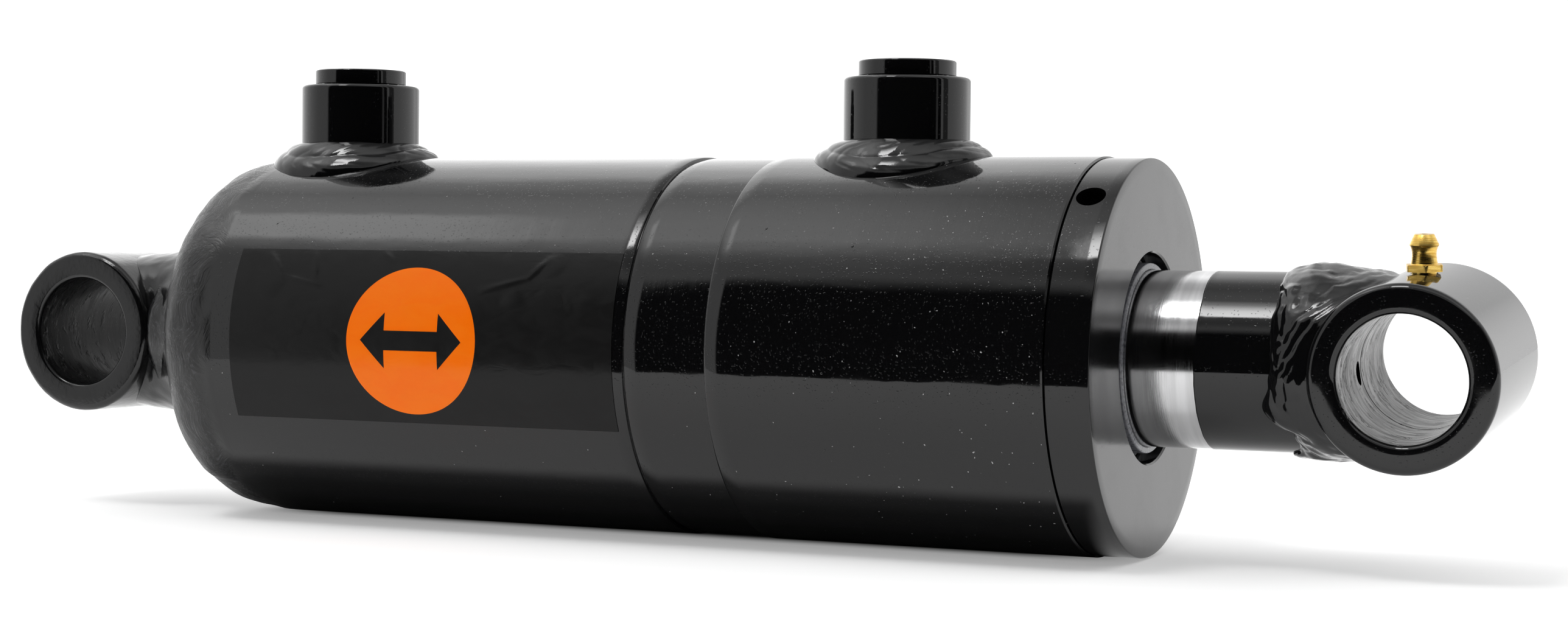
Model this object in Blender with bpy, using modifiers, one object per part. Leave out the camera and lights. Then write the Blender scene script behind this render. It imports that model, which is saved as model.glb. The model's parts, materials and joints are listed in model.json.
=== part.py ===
"""Welded cross-tube hydraulic cylinder, double acting, modelled retracted.

The frame has its origin at the centre of the base pin eye. +X runs along the rod towards the
rod eye, +Z is the side that the two ports are on, and both pin eyes lie along Y. Metres.
"""

import math

import bmesh
import bpy
from mathutils import Matrix

# Driving dimensions
PIN_TO_PIN = 0.3843  # between the two pins, retracted
BARREL_OD = 0.1016
BARREL_BORE = 0.0889
ROD_OD = 0.04445
BASE_EYE_OD = 0.0465
BASE_EYE_WIDTH = 0.0478
ROD_EYE_OD = 0.0454
ROD_EYE_WIDTH = 0.0544
EYE_BORE = 0.031
ROD_TURN = math.radians(5.0)  # the rod is free to turn, and rests turned by this about X
COLLAR_OD = 0.1007
COLLAR_LENGTH = 0.0112
GLAND_FACE_X = 0.3160
BASE_PORT_X = 0.0803
HEAD_PORT_X = 0.2489
BOSS_OD = 0.0333
BOSS_TOP_Z = 0.0714
PLUG_HEAD_OD = 0.0257
PLUG_HEAD_THICKNESS = 0.0041

PORT_BORE_R = 0.0098  # the wide part of a boss's bore, which the plug goes in
WELD_PREP_R = 0.0470  # the tube's end is bevelled down to this before it is welded

GAP = 0.0003  # between faces that touch on the real object
ROUND_STEPS = 32
PORT_STEPS = 28
SMALL_STEPS = 16

# Radii and places that follow from them
BARREL_R = BARREL_OD / 2
BORE_R = BARREL_BORE / 2
ROD_R = ROD_OD / 2
BOSS_R = BOSS_OD / 2
TUBE_END_X = GLAND_FACE_X - COLLAR_LENGTH - GAP
TUBE_START_X = 0.0660
THREAD_START_X = 0.2740
THREAD_R = 0.0458
CAP_FACE_X = 0.0660
GLAND_NOSE_X = 0.2360
ROD_SHOULDER_X = 0.1293
SPIGOT_R = 0.0159
ROD_FLAT_X = PIN_TO_PIN - ROD_EYE_OD / 2 - GAP

BLACK_PAINT = ((0.012, 0.012, 0.013), 0.18, 0.0)
TURNED_BLACK = ((0.05, 0.05, 0.05), 0.35, 0.6)
CHROME = ((0.75, 0.75, 0.76), 0.12, 1.0)
STEEL = ((0.45, 0.45, 0.46), 0.35, 1.0)
BRASS = ((0.80, 0.53, 0.16), 0.25, 1.0)
RUBBER = ((0.02, 0.02, 0.02), 0.6, 0.0)
URETHANE = ((0.10, 0.10, 0.11), 0.45, 0.0)
NYLON = ((0.62, 0.50, 0.30), 0.5, 0.0)
LABEL_FILM = ((0.02, 0.02, 0.02), 0.4, 0.0)

ALONG_X = (0.0, math.pi / 2, 0.0)
ALONG_Y = (-math.pi / 2, 0.0, 0.0)
ALONG_Z = (0.0, 0.0, 0.0)


def clear_scene():
    for obj in list(bpy.data.objects):
        bpy.data.objects.remove(obj, do_unlink=True)


def new_collection(name):
    collection = bpy.data.collections.new(name)
    bpy.context.scene.collection.children.link(collection)
    return collection


clear_scene()
parts = new_collection("hydraulic_cylinder")
cutters = new_collection("cutters")


def finish(obj, look):
    """Gives the object a material of its own."""
    colour, roughness, metallic = look
    material = bpy.data.materials.new(obj.name)
    material.use_nodes = True
    shader = material.node_tree.nodes["Principled BSDF"]
    shader.inputs["Base Color"].default_value = (*colour, 1.0)
    shader.inputs["Roughness"].default_value = roughness
    shader.inputs["Metallic"].default_value = metallic
    obj.data.materials.append(material)


def add_object(name, mesh, direction, at, parent, look):
    """Puts a mesh in the scene as a sub-part, or as a hidden cutter where it has no look."""
    obj = bpy.data.objects.new(name, mesh)
    obj.rotation_euler = direction
    obj.location = at
    obj.parent = parent
    if look is None:
        cutters.objects.link(obj)
        obj.hide_render = True
        obj.display_type = "WIRE"
    else:
        parts.objects.link(obj)
        finish(obj, look)
    return obj


def pivot(name, at=(0.0, 0.0, 0.0), turn=(0.0, 0.0, 0.0), parent=None):
    """An empty on a joint's axis, which the moving pieces hang from."""
    empty = bpy.data.objects.new(name, None)
    empty.location = at
    empty.rotation_euler = turn
    empty.parent = parent
    parts.objects.link(empty)
    return empty


def winding(outline):
    """Twice the signed area of an outline of (radius, height) points."""
    following = outline[1:] + outline[:1]
    return sum(a[0] * b[1] - b[0] * a[1] for a, b in zip(outline, following))


def turned(name, outline, look, direction=ALONG_X, at=(0.0, 0.0, 0.0), parent=None, steps=ROUND_STEPS):
    """A lathe shape: (radius, height) points turned about local Z. It is closed on itself as a ring
    unless its first and last points lie on the axis."""
    if winding(outline) > 0:
        outline = outline[::-1]
    mesh = bpy.data.meshes.new(name)
    points = [(radius, 0.0, height) for radius, height in outline]
    edges = [(i, i + 1) for i in range(len(points) - 1)]
    if outline[0][0] > 0 or outline[-1][0] > 0:
        edges.append((len(points) - 1, 0))
    mesh.from_pydata(points, edges, [])
    obj = add_object(name, mesh, direction, at, parent, look)
    screw = obj.modifiers.new("turn", "SCREW")
    screw.axis = "Z"
    screw.angle = math.tau
    screw.steps = steps
    screw.render_steps = steps
    screw.use_merge_vertices = True
    screw.merge_threshold = 0.00001
    screw.use_smooth_shade = True
    return obj


def ring(name, inner, outer, start, end, look, **where):
    """A plain ring with small chamfers on its outer edges."""
    chamfer = min(0.0004, (outer - inner) / 4, (end - start) / 4)
    outline = [
        (inner, start),
        (outer - chamfer, start),
        (outer, start + chamfer),
        (outer, end - chamfer),
        (outer - chamfer, end),
        (inner, end),
    ]
    return turned(name, outline, look, **where)


def arc(centre, radius, start, end, count):
    """Points of an arc in the (radius, height) plane, angles in degrees from the radius axis."""
    angles = [math.radians(start + (end - start) * i / (count - 1)) for i in range(count)]
    return [(centre[0] + radius * math.cos(a), centre[1] + radius * math.sin(a)) for a in angles]


def o_ring(name, middle, section, height, **where):
    """A rubber ring of round section, six-sided."""
    return turned(name, arc((middle, height), section / 2, 0, 300, 6), RUBBER, **where)


def cylinder(name, radius, start, end, direction=ALONG_X, at=(0.0, 0.0, 0.0), parent=None, steps=ROUND_STEPS):
    """A cylinder used as a cutter, from start to end along its direction."""
    mesh = bpy.data.meshes.new(name)
    shape = bmesh.new()
    bmesh.ops.create_cone(
        shape,
        cap_ends=True,
        segments=steps,
        radius1=radius,
        radius2=radius,
        depth=end - start,
        matrix=Matrix.Translation((0.0, 0.0, (start + end) / 2)),
    )
    shape.to_mesh(mesh)
    shape.free()
    return add_object(name, mesh, direction, at, parent, None)


def block(name, size, at, turn=(0.0, 0.0, 0.0), parent=None):
    """A box used as a cutter."""
    mesh = bpy.data.meshes.new(name)
    shape = bmesh.new()
    bmesh.ops.create_cube(shape, size=1.0, matrix=Matrix.Diagonal((*size, 1.0)))
    shape.to_mesh(mesh)
    shape.free()
    return add_object(name, mesh, turn, at, parent, None)


def boolean(obj, other, operation="DIFFERENCE"):
    modifier = obj.modifiers.new(operation.lower(), "BOOLEAN")
    modifier.operation = operation
    modifier.object = other
    modifier.solver = "EXACT"


def eye_tube(name, outside, width, at, parent=None):
    """A cross tube along Y that a pin goes through, with a rounded rim and a chamfered bore."""
    rim = 0.0016
    bore_chamfer = 0.0008
    outer, inner, half = outside / 2, EYE_BORE / 2, width / 2
    outline = [(inner, bore_chamfer - half), (inner + bore_chamfer, -half)]
    outline += arc((outer - rim, rim - half), rim, -90, 0, 3)
    outline += arc((outer - rim, half - rim), rim, 0, 90, 3)
    outline += [(inner + bore_chamfer, half), (inner, half - bore_chamfer)]
    return turned(name, outline, BLACK_PAINT, ALONG_Y, at, parent)


# ---- the barrel, which is the body that stays still ----

RECESS_START_X = 0.1921
RECESS_END_X = 0.2155
RECESS_DEPTH = 0.00065
PORT_DRILL_R = 0.0060

# the ground shoulder of the base end, as (radius, x), from the tube down to the neck
SHOULDER = [
    (BARREL_R, 0.0655),
    (0.0506, 0.0600),
    (0.0500, 0.0550),
    (0.0488, 0.0510),
    (0.0466, 0.0476),
    (0.0435, 0.0448),
    (0.0395, 0.0422),
    (0.0350, 0.0398),
    (0.0310, 0.0374),
    (0.0275, 0.0348),
]
WELD_ROOT_AT = 5  # the point of SHOULDER where the ring weld ends and the cap's own face starts
NECK_R = 0.0225


def barrel_tube():
    """Honed tube, threaded at the gland end, with a shallow turned band in the middle."""
    step = 0.0002
    recess_r = BARREL_R - RECESS_DEPTH
    end_chamfer = 0.0008
    outline = [
        (BORE_R, TUBE_START_X),
        (WELD_PREP_R, TUBE_START_X),
        (BARREL_R, TUBE_START_X + 0.0040),
        (BARREL_R, RECESS_START_X - step),
        (recess_r, RECESS_START_X + step),
        (recess_r, RECESS_END_X - step),
        (BARREL_R, RECESS_END_X + step),
        (BARREL_R, TUBE_END_X - end_chamfer),
        (BARREL_R - end_chamfer, TUBE_END_X),
        (THREAD_R, TUBE_END_X),
        (THREAD_R, THREAD_START_X),
        (BORE_R, THREAD_START_X - 0.0010),
    ]
    tube = turned("barrel_tube", outline, BLACK_PAINT)
    for label, x in (("base", BASE_PORT_X), ("head", HEAD_PORT_X)):
        name = f"cut_port_{label}"
        hole = cylinder(name, PORT_DRILL_R, 0.030, 0.060, ALONG_Z, (x, 0, 0), steps=SMALL_STEPS)
        boolean(tube, hole)
    return tube


def base_cap():
    """Turned plug in the end of the tube, with a neck that is hollowed to sit on the pin eye."""
    spigot_r = BORE_R - GAP
    root_r, root_x = SHOULDER[WELD_ROOT_AT]
    outline = [(0.0, CAP_FACE_X), (spigot_r, CAP_FACE_X), (spigot_r, root_x + 0.0004), (root_r, root_x)]
    outline += SHOULDER[WELD_ROOT_AT + 1 :]
    outline += [(0.0246, 0.0315), (NECK_R, 0.0270), (NECK_R, 0.0150), (0.0, 0.0150)]
    cap = turned("base_cap", outline, BLACK_PAINT)
    boolean(cap, cylinder("cut_base_saddle", BASE_EYE_OD / 2 + GAP, -0.040, 0.040, ALONG_Y))
    return cap


def base_ring_weld():
    """The weld between tube and cap, ground into a rounded shoulder."""
    root_x = SHOULDER[WELD_ROOT_AT][1]
    outline = [(BORE_R, root_x + 0.0008)]
    outline += SHOULDER[:WELD_ROOT_AT][::-1]
    outline += [(BARREL_R, TUBE_START_X + 0.0036), (WELD_PREP_R, TUBE_START_X - GAP)]
    outline.append((BORE_R, TUBE_START_X - GAP))
    return turned("base_ring_weld", outline, BLACK_PAINT)


def base_eye_weld():
    """The bead round the neck, where the cap meets the pin eye."""
    inner = NECK_R + GAP
    outline = [(inner, 0.0270), (inner, 0.0040), (0.0236, 0.0040), (0.0250, 0.0150), (0.0243, 0.0240)]
    weld = turned("base_eye_weld", outline, BLACK_PAINT)
    boolean(weld, cylinder("cut_base_weld", BASE_EYE_OD / 2 + GAP, -0.040, 0.040, ALONG_Y))
    return weld


def port_boss(label, x):
    """Round boss with a stepped bore, hollowed at its foot to sit on the tube."""
    rim = 0.0012
    floor_z = BOSS_TOP_Z - 0.0150
    outline = [(PORT_DRILL_R, 0.0400), (BOSS_R, 0.0400)]
    outline += arc((BOSS_R - rim, BOSS_TOP_Z - rim), rim, 0, 90, 3)
    outline += [(PORT_BORE_R, BOSS_TOP_Z), (PORT_BORE_R, floor_z), (PORT_DRILL_R, floor_z - 0.0020)]
    boss = turned(f"port_boss_{label}", outline, BLACK_PAINT, ALONG_Z, (x, 0, 0), steps=PORT_STEPS)
    boolean(boss, barrel_saddle)
    return boss


def port_weld(label, x):
    """Fillet bead round the foot of a boss."""
    inner = BOSS_R + GAP
    outline = [(inner, 0.0400), (0.0246, 0.0400), (0.0240, 0.0470), (0.0230, 0.0500)]
    outline += [(0.0214, 0.0525), (0.0193, 0.0541), (inner + 0.0003, 0.0549), (inner, 0.0549)]
    weld = turned(f"port_weld_{label}", outline, BLACK_PAINT, ALONG_Z, (x, 0, 0), steps=PORT_STEPS)
    boolean(weld, barrel_saddle)
    return weld


LABEL_START_X = 0.0736
LABEL_END_X = 0.1893
LABEL_TOP = math.radians(60.8)  # angles from +Z towards -Y
LABEL_BOTTOM = math.radians(114.0)


def label():
    """Thin printed film on the near side of the tube."""
    thickness = 0.00015
    inner = BARREL_R + GAP
    count = 12
    outline = []
    for radius, order in ((inner, range(count)), (inner + thickness, reversed(range(count)))):
        for i in order:
            angle = LABEL_TOP + (LABEL_BOTTOM - LABEL_TOP) * i / (count - 1)
            outline.append((-radius * math.sin(angle), radius * math.cos(angle)))
    mesh = bpy.data.meshes.new("label")
    shape = bmesh.new()
    corners = [shape.verts.new((LABEL_START_X, y, z)) for y, z in outline]
    face = shape.faces.new(corners)
    swept = bmesh.ops.extrude_face_region(shape, geom=[face])["geom"]
    moved = [item for item in swept if isinstance(item, bmesh.types.BMVert)]
    bmesh.ops.translate(shape, verts=moved, vec=(LABEL_END_X - LABEL_START_X, 0.0, 0.0))
    bmesh.ops.recalc_face_normals(shape, faces=shape.faces)
    shape.to_mesh(mesh)
    shape.free()
    return add_object("label", mesh, (0, 0, 0), (0, 0, 0), None, LABEL_FILM)


# ---- the gland and its seals ----

ROD_BORE_R = 0.0228
WIPER_SEAT_R = 0.0266
WIPER_SEAT_X = 0.3083
ROD_SEAL_X = (0.2950, 0.3045)
ROD_SEAL_R = 0.0280
ROD_WEAR_X = ((0.2450, 0.2580), (0.2700, 0.2830))
ROD_WEAR_R = 0.0250
GLAND_SEAL_X = (0.2610, 0.2670)
GLAND_SEAL_R = 0.0410
SPANNER_ANGLES = (37.0, 217.0)
SPANNER_R = 0.0037


def gland():
    """Threaded head with a collar that butts on the tube, and grooves for five seals and bands."""
    fit_r = BORE_R - GAP
    thread_r = THREAD_R - GAP
    collar_r = COLLAR_OD / 2
    edge = 0.0005
    outline = [
        (WIPER_SEAT_R, GLAND_FACE_X),
        (collar_r - edge, GLAND_FACE_X),
        (collar_r, GLAND_FACE_X - edge),
        (collar_r, TUBE_END_X + GAP + edge),
        (collar_r - edge, TUBE_END_X + GAP),
        (thread_r, TUBE_END_X + GAP),
        (thread_r, THREAD_START_X + GAP),
        (fit_r, THREAD_START_X - 0.0010),
        (fit_r, GLAND_SEAL_X[1]),
        (GLAND_SEAL_R, GLAND_SEAL_X[1]),
        (GLAND_SEAL_R, GLAND_SEAL_X[0]),
        (fit_r, GLAND_SEAL_X[0]),
        (fit_r, 0.2570),
        (0.0395, 0.2560),
        (0.0395, GLAND_NOSE_X + 0.0010),
        (0.0385, GLAND_NOSE_X),
        (ROD_BORE_R, GLAND_NOSE_X),
    ]
    grooves = [(start, end, ROD_WEAR_R) for start, end in ROD_WEAR_X]
    grooves.append((*ROD_SEAL_X, ROD_SEAL_R))
    for start, end, depth in grooves:
        outline += [(ROD_BORE_R, start), (depth, start), (depth, end), (ROD_BORE_R, end)]
    outline += [(ROD_BORE_R, WIPER_SEAT_X), (WIPER_SEAT_R, WIPER_SEAT_X)]
    head = turned("gland", outline, TURNED_BLACK)
    for angle in SPANNER_ANGLES:
        x = GLAND_FACE_X - COLLAR_LENGTH / 2 - 0.0008
        name = f"cut_spanner_{angle:.0f}"
        hole = cylinder(name, SPANNER_R, 0.0420, 0.0560, (math.radians(angle), 0, 0), (x, 0, 0), steps=24)
        boolean(head, hole)
    return head


def gland_seals():
    """What the gland carries: the static seal outside, and bands, seal and wiper on the rod."""
    start, end = GLAND_SEAL_X
    middle = (GLAND_SEAL_R + BORE_R) / 2
    section = BORE_R - GLAND_SEAL_R - 2 * GAP
    o_ring("gland_o_ring", middle, section, start + 0.0020)
    ring("gland_backup_ring", GLAND_SEAL_R + GAP, BORE_R - GAP, start + 0.0040, end - GAP, NYLON)
    for place, (start, end) in zip(("inner", "outer"), ROD_WEAR_X):
        ring(f"rod_guide_ring_{place}", ROD_R + GAP, ROD_WEAR_R - GAP, start + GAP, end - GAP, NYLON)
    rod_seal()
    rod_wiper()


def rod_seal():
    """U-cup, open towards the pressure."""
    start, end = ROD_SEAL_X[0] + GAP, ROD_SEAL_X[1] - GAP
    inner, outer = ROD_R + GAP, ROD_SEAL_R - GAP
    middle = (inner + outer) / 2
    outline = [(inner, start), (inner + 0.0012, start), (middle, start + 0.0042), (outer - 0.0012, start)]
    outline += [(outer, start), (outer, end), (inner + 0.0006, end), (inner, end - 0.0006)]
    turned("rod_seal", outline, URETHANE)


def rod_wiper():
    """Wiper with a raised lip on the rod, seated in the mouth of the gland."""
    start = WIPER_SEAT_X + GAP
    inner, outer = ROD_R + GAP, WIPER_SEAT_R - GAP
    outline = [(inner + 0.0006, start), (outer, start), (outer, 0.3124), (outer - 0.0008, 0.3130)]
    outline += [(0.0249, 0.3131), (0.0239, 0.3153), (inner + 0.0003, 0.3156)]
    outline += [(inner, 0.3152), (inner + 0.0004, 0.3120)]
    turned("rod_wiper", outline, URETHANE)


# ---- the plugs in the ports ----

PLUG_SHANK_R = 0.0092


def port_plug(label, x):
    """Screw plug with a plain round head, on an empty at the port's axis."""
    axis = pivot(f"plug_axis_{label}", (x, 0, BOSS_TOP_Z))
    under = GAP
    top = under + PLUG_HEAD_THICKNESS
    edge = 0.0005
    head_r = PLUG_HEAD_OD / 2
    neck_r = PLUG_SHANK_R - 0.0016
    outline = [(0.0, top), (head_r - edge, top), (head_r, top - edge), (head_r, under)]
    outline += [(neck_r, under), (neck_r, under - 0.0028), (PLUG_SHANK_R, under - 0.0032)]
    outline += [(PLUG_SHANK_R, -0.0120), (PLUG_SHANK_R - 0.0008, -0.0128), (0.0, -0.0128)]
    turned(f"port_plug_{label}", outline, BLACK_PAINT, ALONG_Z, parent=axis, steps=PORT_STEPS)
    middle = (neck_r + PORT_BORE_R) / 2
    section = PORT_BORE_R - neck_r - 2 * GAP
    name = f"plug_o_ring_{label}"
    o_ring(name, middle, section, -0.0015, direction=ALONG_Z, parent=axis, steps=SMALL_STEPS)


# ---- the rod, and what turns and slides with it ----

PISTON_X = (0.0840, 0.1290)
PISTON_R = 0.0441
PISTON_BORE_R = SPIGOT_R + GAP
PISTON_SEAL_X = (0.1015, 0.1115)
PISTON_SEAL_R = 0.0375
PISTON_WEAR_X = ((0.0872, 0.0985), (0.1145, 0.1258))
PISTON_WEAR_R = 0.0413
PISTON_O_RING_X = (0.1170, 0.1210)
PISTON_O_RING_R = 0.0192
ROD_TAIL_X = 0.0683
NUT_X = (0.0695, 0.0837)
NUT_ACROSS_FLATS = 0.0500


def piston_rod(axis):
    """Chromed bar, turned down for the piston at one end and cut square at the eye."""
    end_chamfer = 0.0012
    outline = [
        (0.0, ROD_TAIL_X),
        (SPIGOT_R - end_chamfer, ROD_TAIL_X),
        (SPIGOT_R, ROD_TAIL_X + end_chamfer),
        (SPIGOT_R, ROD_SHOULDER_X),
        (ROD_R - end_chamfer, ROD_SHOULDER_X),
        (ROD_R, ROD_SHOULDER_X + end_chamfer),
        (ROD_R, ROD_FLAT_X),
        (0.0, ROD_FLAT_X),
    ]
    return turned("piston_rod", outline, CHROME, parent=axis)


def piston(axis):
    """Piston with a groove for its seal between two for its wear rings, and one inside for an O-ring."""
    start, end = PISTON_X
    chamfer = 0.0015
    outline = [(PISTON_BORE_R, start), (PISTON_R - chamfer, start), (PISTON_R, start + chamfer)]
    grooves = [(*PISTON_WEAR_X[0], PISTON_WEAR_R), (*PISTON_SEAL_X, PISTON_SEAL_R)]
    grooves.append((*PISTON_WEAR_X[1], PISTON_WEAR_R))
    for low, high, depth in grooves:
        outline += [(PISTON_R, low), (depth, low), (depth, high), (PISTON_R, high)]
    outline += [(PISTON_R, end - chamfer), (PISTON_R - chamfer, end), (PISTON_BORE_R, end)]
    low, high = PISTON_O_RING_X
    outline += [(PISTON_BORE_R, high), (PISTON_O_RING_R, high), (PISTON_O_RING_R, low), (PISTON_BORE_R, low)]
    turned("piston", outline, STEEL, parent=axis)
    section = PISTON_O_RING_R - SPIGOT_R - 2 * GAP
    o_ring("piston_o_ring", (SPIGOT_R + PISTON_O_RING_R) / 2, section, (low + high) / 2, parent=axis)


def piston_nut(axis):
    """Hexagon lock nut that clamps the piston on the rod's spigot."""
    start, end = NUT_X
    across_corners = NUT_ACROSS_FLATS / math.cos(math.pi / 6)
    round_r = across_corners / 2 - 0.0006
    outline = [(PISTON_BORE_R, start), (round_r - 0.0030, start), (round_r, start + 0.0018)]
    outline += [(round_r, end), (PISTON_BORE_R, end)]
    nut = turned("piston_nut", outline, STEEL, parent=axis)
    hexagon = cylinder("cut_nut_hexagon", across_corners / 2, start - 0.01, end + 0.01, parent=axis, steps=6)
    boolean(nut, hexagon, "INTERSECT")


def rod_weld(axis):
    """Heavy fillet weld that fills the corner between the rod's square end and its eye."""
    inner = ROD_R + GAP
    root_r = 0.0120
    start = 0.3515
    outline = [
        (inner, start),
        (0.0236, start + 0.0015),
        (0.0245, start + 0.0045),
        (0.0241, start + 0.0095),
        (0.0228, start + 0.0200),
        (0.0222, 0.3800),
        (root_r, 0.3800),
        (root_r, ROD_FLAT_X + GAP),
        (inner, ROD_FLAT_X + GAP),
    ]
    weld = turned("rod_weld", outline, BLACK_PAINT, parent=axis)
    saddle = cylinder(
        "cut_rod_saddle", ROD_EYE_OD / 2 + GAP, -0.040, 0.040, ALONG_Y, (PIN_TO_PIN, 0, 0), axis, steps=48
    )
    boolean(weld, saddle)


FITTING_HEX = 0.0083
FITTING_HEIGHT = 0.0092
FITTING_HEX_TURN = 16
FITTING_THREAD_R = 0.0030
BALL_R = 0.0011


def rod_eye(axis):
    """The rod's cross tube, drilled on top for its grease fitting."""
    eye = eye_tube("rod_cross_tube", ROD_EYE_OD, ROD_EYE_WIDTH, (PIN_TO_PIN, 0, 0), axis)
    hole_r = FITTING_THREAD_R + GAP
    hole = cylinder("cut_grease_hole", hole_r, 0.010, 0.030, ALONG_Z, (PIN_TO_PIN, 0, 0), axis, 24)
    boolean(eye, hole)


def grease_fitting(axis):
    """Straight grease fitting: hexagon, waist, coned head and a through passage for its ball."""
    seat = ROD_EYE_OD / 2 + 0.0001
    hex_r = FITTING_HEX / 2 / math.cos(math.pi / 6)
    base = pivot("grease_fitting_axis", (PIN_TO_PIN, 0, seat), parent=axis)
    top = FITTING_HEIGHT
    outline = [
        (0.0008, -0.0052),
        (FITTING_THREAD_R - 0.0004, -0.0052),
        (FITTING_THREAD_R, -0.0048),
        (FITTING_THREAD_R, 0.0003),
        (hex_r, 0.0003),
        (hex_r, 0.0020),
        (0.0032, 0.0022),
        (0.0029, 0.0045),
        (0.0035, 0.0066),
        (0.0023, top),
        (0.0007, top),
        (0.0007, top - 0.0006),
        (0.0015, top - 0.0014),
        (0.0015, -0.0030),
        (0.0008, -0.0036),
    ]
    fitting = turned("grease_fitting", outline, BRASS, ALONG_Z, parent=base, steps=SMALL_STEPS)
    # six flats on the flange, cut by blocks that stand round it
    for i in range(6):
        turn = math.radians(60 * i + FITTING_HEX_TURN)
        reach = FITTING_HEX / 2 + 0.005
        at = (reach * math.cos(turn), reach * math.sin(turn), 0.0013)
        boolean(fitting, block(f"cut_flat_{i}", (0.010, 0.012, 0.0030), at, (0, 0, turn), base))
    ball_axis = pivot("grease_ball_axis", (0, 0, top - 0.0021), parent=base)
    ball_outline = arc((0.0, 0.0), BALL_R, -90, 90, 7)
    ball_outline[0] = (0.0, -BALL_R)
    ball_outline[-1] = (0.0, BALL_R)
    turned("grease_ball", ball_outline, STEEL, ALONG_Z, parent=ball_axis, steps=12)
    spring_top = top - 0.0035
    spring_outline = [(0.0007, -0.0029), (0.0012, -0.0029), (0.0012, spring_top), (0.0007, spring_top)]
    turned("grease_spring", spring_outline, STEEL, ALONG_Z, parent=base, steps=12)


def piston_seals():
    """The seal and wear rings drag on the bore, so they slide with the piston and don't turn with it."""
    axis = pivot("stroke_axis")
    outer = BORE_R - GAP
    start, end = PISTON_SEAL_X
    ring("piston_seal", PISTON_SEAL_R + GAP, outer, start + GAP, end - GAP, URETHANE, parent=axis)
    for place, (start, end) in zip(("base", "head"), PISTON_WEAR_X):
        inner = PISTON_WEAR_R + GAP
        band = ring(f"piston_wear_ring_{place}", inner, outer, start + GAP, end - GAP, NYLON, parent=axis)
        split_at = ((start + end) / 2, 0, -0.0430)
        slot = block(f"cut_split_{place}", (0.030, 0.0018, 0.010), split_at, (0, 0, 0.6), axis)
        boolean(band, slot)
    return axis


barrel_saddle = cylinder("cut_barrel_saddle", BARREL_R + GAP, 0.030, 0.330, steps=72)
barrel_tube()
base_cap()
base_ring_weld()
eye_tube("base_cross_tube", BASE_EYE_OD, BASE_EYE_WIDTH, (0, 0, 0))
base_eye_weld()
for port, port_x in (("base", BASE_PORT_X), ("head", HEAD_PORT_X)):
    port_boss(port, port_x)
    port_weld(port, port_x)
    port_plug(port, port_x)
label()
gland()
gland_seals()

stroke_axis = piston_seals()
rod_axis = pivot("rod_axis", turn=(ROD_TURN, 0, 0), parent=stroke_axis)
piston_rod(rod_axis)
piston(rod_axis)
piston_nut(rod_axis)
rod_eye(rod_axis)
rod_weld(rod_axis)
grease_fitting(rod_axis)
bpy.context.view_layer.update()
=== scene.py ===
import json
import math

import bmesh
import bpy
from mathutils import Matrix, Vector, noise


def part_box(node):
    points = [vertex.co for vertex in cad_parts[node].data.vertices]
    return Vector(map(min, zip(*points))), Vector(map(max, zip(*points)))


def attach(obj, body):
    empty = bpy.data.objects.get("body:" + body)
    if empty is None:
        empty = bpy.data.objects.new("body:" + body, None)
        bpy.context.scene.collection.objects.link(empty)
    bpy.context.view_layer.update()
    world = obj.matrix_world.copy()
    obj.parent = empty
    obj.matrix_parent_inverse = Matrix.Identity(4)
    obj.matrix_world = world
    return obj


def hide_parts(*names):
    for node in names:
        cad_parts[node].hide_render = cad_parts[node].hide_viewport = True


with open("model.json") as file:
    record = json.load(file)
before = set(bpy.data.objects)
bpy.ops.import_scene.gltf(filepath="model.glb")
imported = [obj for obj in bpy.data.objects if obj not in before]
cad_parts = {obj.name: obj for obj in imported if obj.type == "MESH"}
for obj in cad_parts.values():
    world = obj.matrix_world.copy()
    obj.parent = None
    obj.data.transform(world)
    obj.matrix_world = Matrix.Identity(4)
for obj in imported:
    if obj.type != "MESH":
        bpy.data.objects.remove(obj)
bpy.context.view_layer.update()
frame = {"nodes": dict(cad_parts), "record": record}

mm = 0.001
tau = math.tau
print("frame loaded:", len(frame["nodes"]), "nodes")


# places read from the frame

def span(nodeName, axis):
    low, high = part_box(nodeName)
    return low[axis], high[axis]


def middle(nodeName, axis):
    return sum(span(nodeName, axis)) / 2


mounts = {item["name"]: item for item in frame["record"]["mounts"]}
farAxis = mounts["rod_eye_far_face"]["axis"]
restTurn = math.atan2(farAxis[2], farAxis[1])  # the rod rests turned by this about X
barrelRadius = span("barrel_tube", 2)[1]
rodRadius = max(math.hypot(v.co.y, v.co.z) for v in frame["nodes"]["piston_rod"].data.vertices)
baseEyeRadius = span("base_cross_tube", 2)[1]
baseEyeHalf = span("base_cross_tube", 1)[1]
rodEyeX = middle("rod_cross_tube", 0)
rodEyeRadius = span("rod_cross_tube", 0)[1] - rodEyeX
rodEyeHalf = Vector(mounts["rod_eye_far_face"]["pos_m"][1:]).dot(Vector(farAxis[1:]))
glandFaceX = span("gland", 0)[1]
collarStartX = span("barrel_tube", 0)[1]
portX = {"base": middle("port_boss_base", 0), "head": middle("port_boss_head", 0)}
bossRadius = span("port_boss_base", 0)[1] - portX["base"]
bossTop = span("port_boss_base", 2)[1]
floorZ = span("barrel_tube", 2)[0]
turnRod = Matrix.Rotation(restTurn, 4, "X")


# small tools

def smooth(t):
    t = min(max(t, 0.0), 1.0)
    return t * t * (3 - 2 * t)


def lumps(point, size, seed=0.0):
    # noise of about this size in metres, from -1 to 1
    return noise.noise(Vector(point) / size + Vector((seed, 7.3 * seed, -3.1 * seed)))


def arc(centre, radius, start, end, count):
    # angles in degrees from the first axis
    angles = [math.radians(start + (end - start) * i / (count - 1)) for i in range(count)]
    return [(centre[0] + radius * math.cos(a), centre[1] + radius * math.sin(a)) for a in angles]


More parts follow.
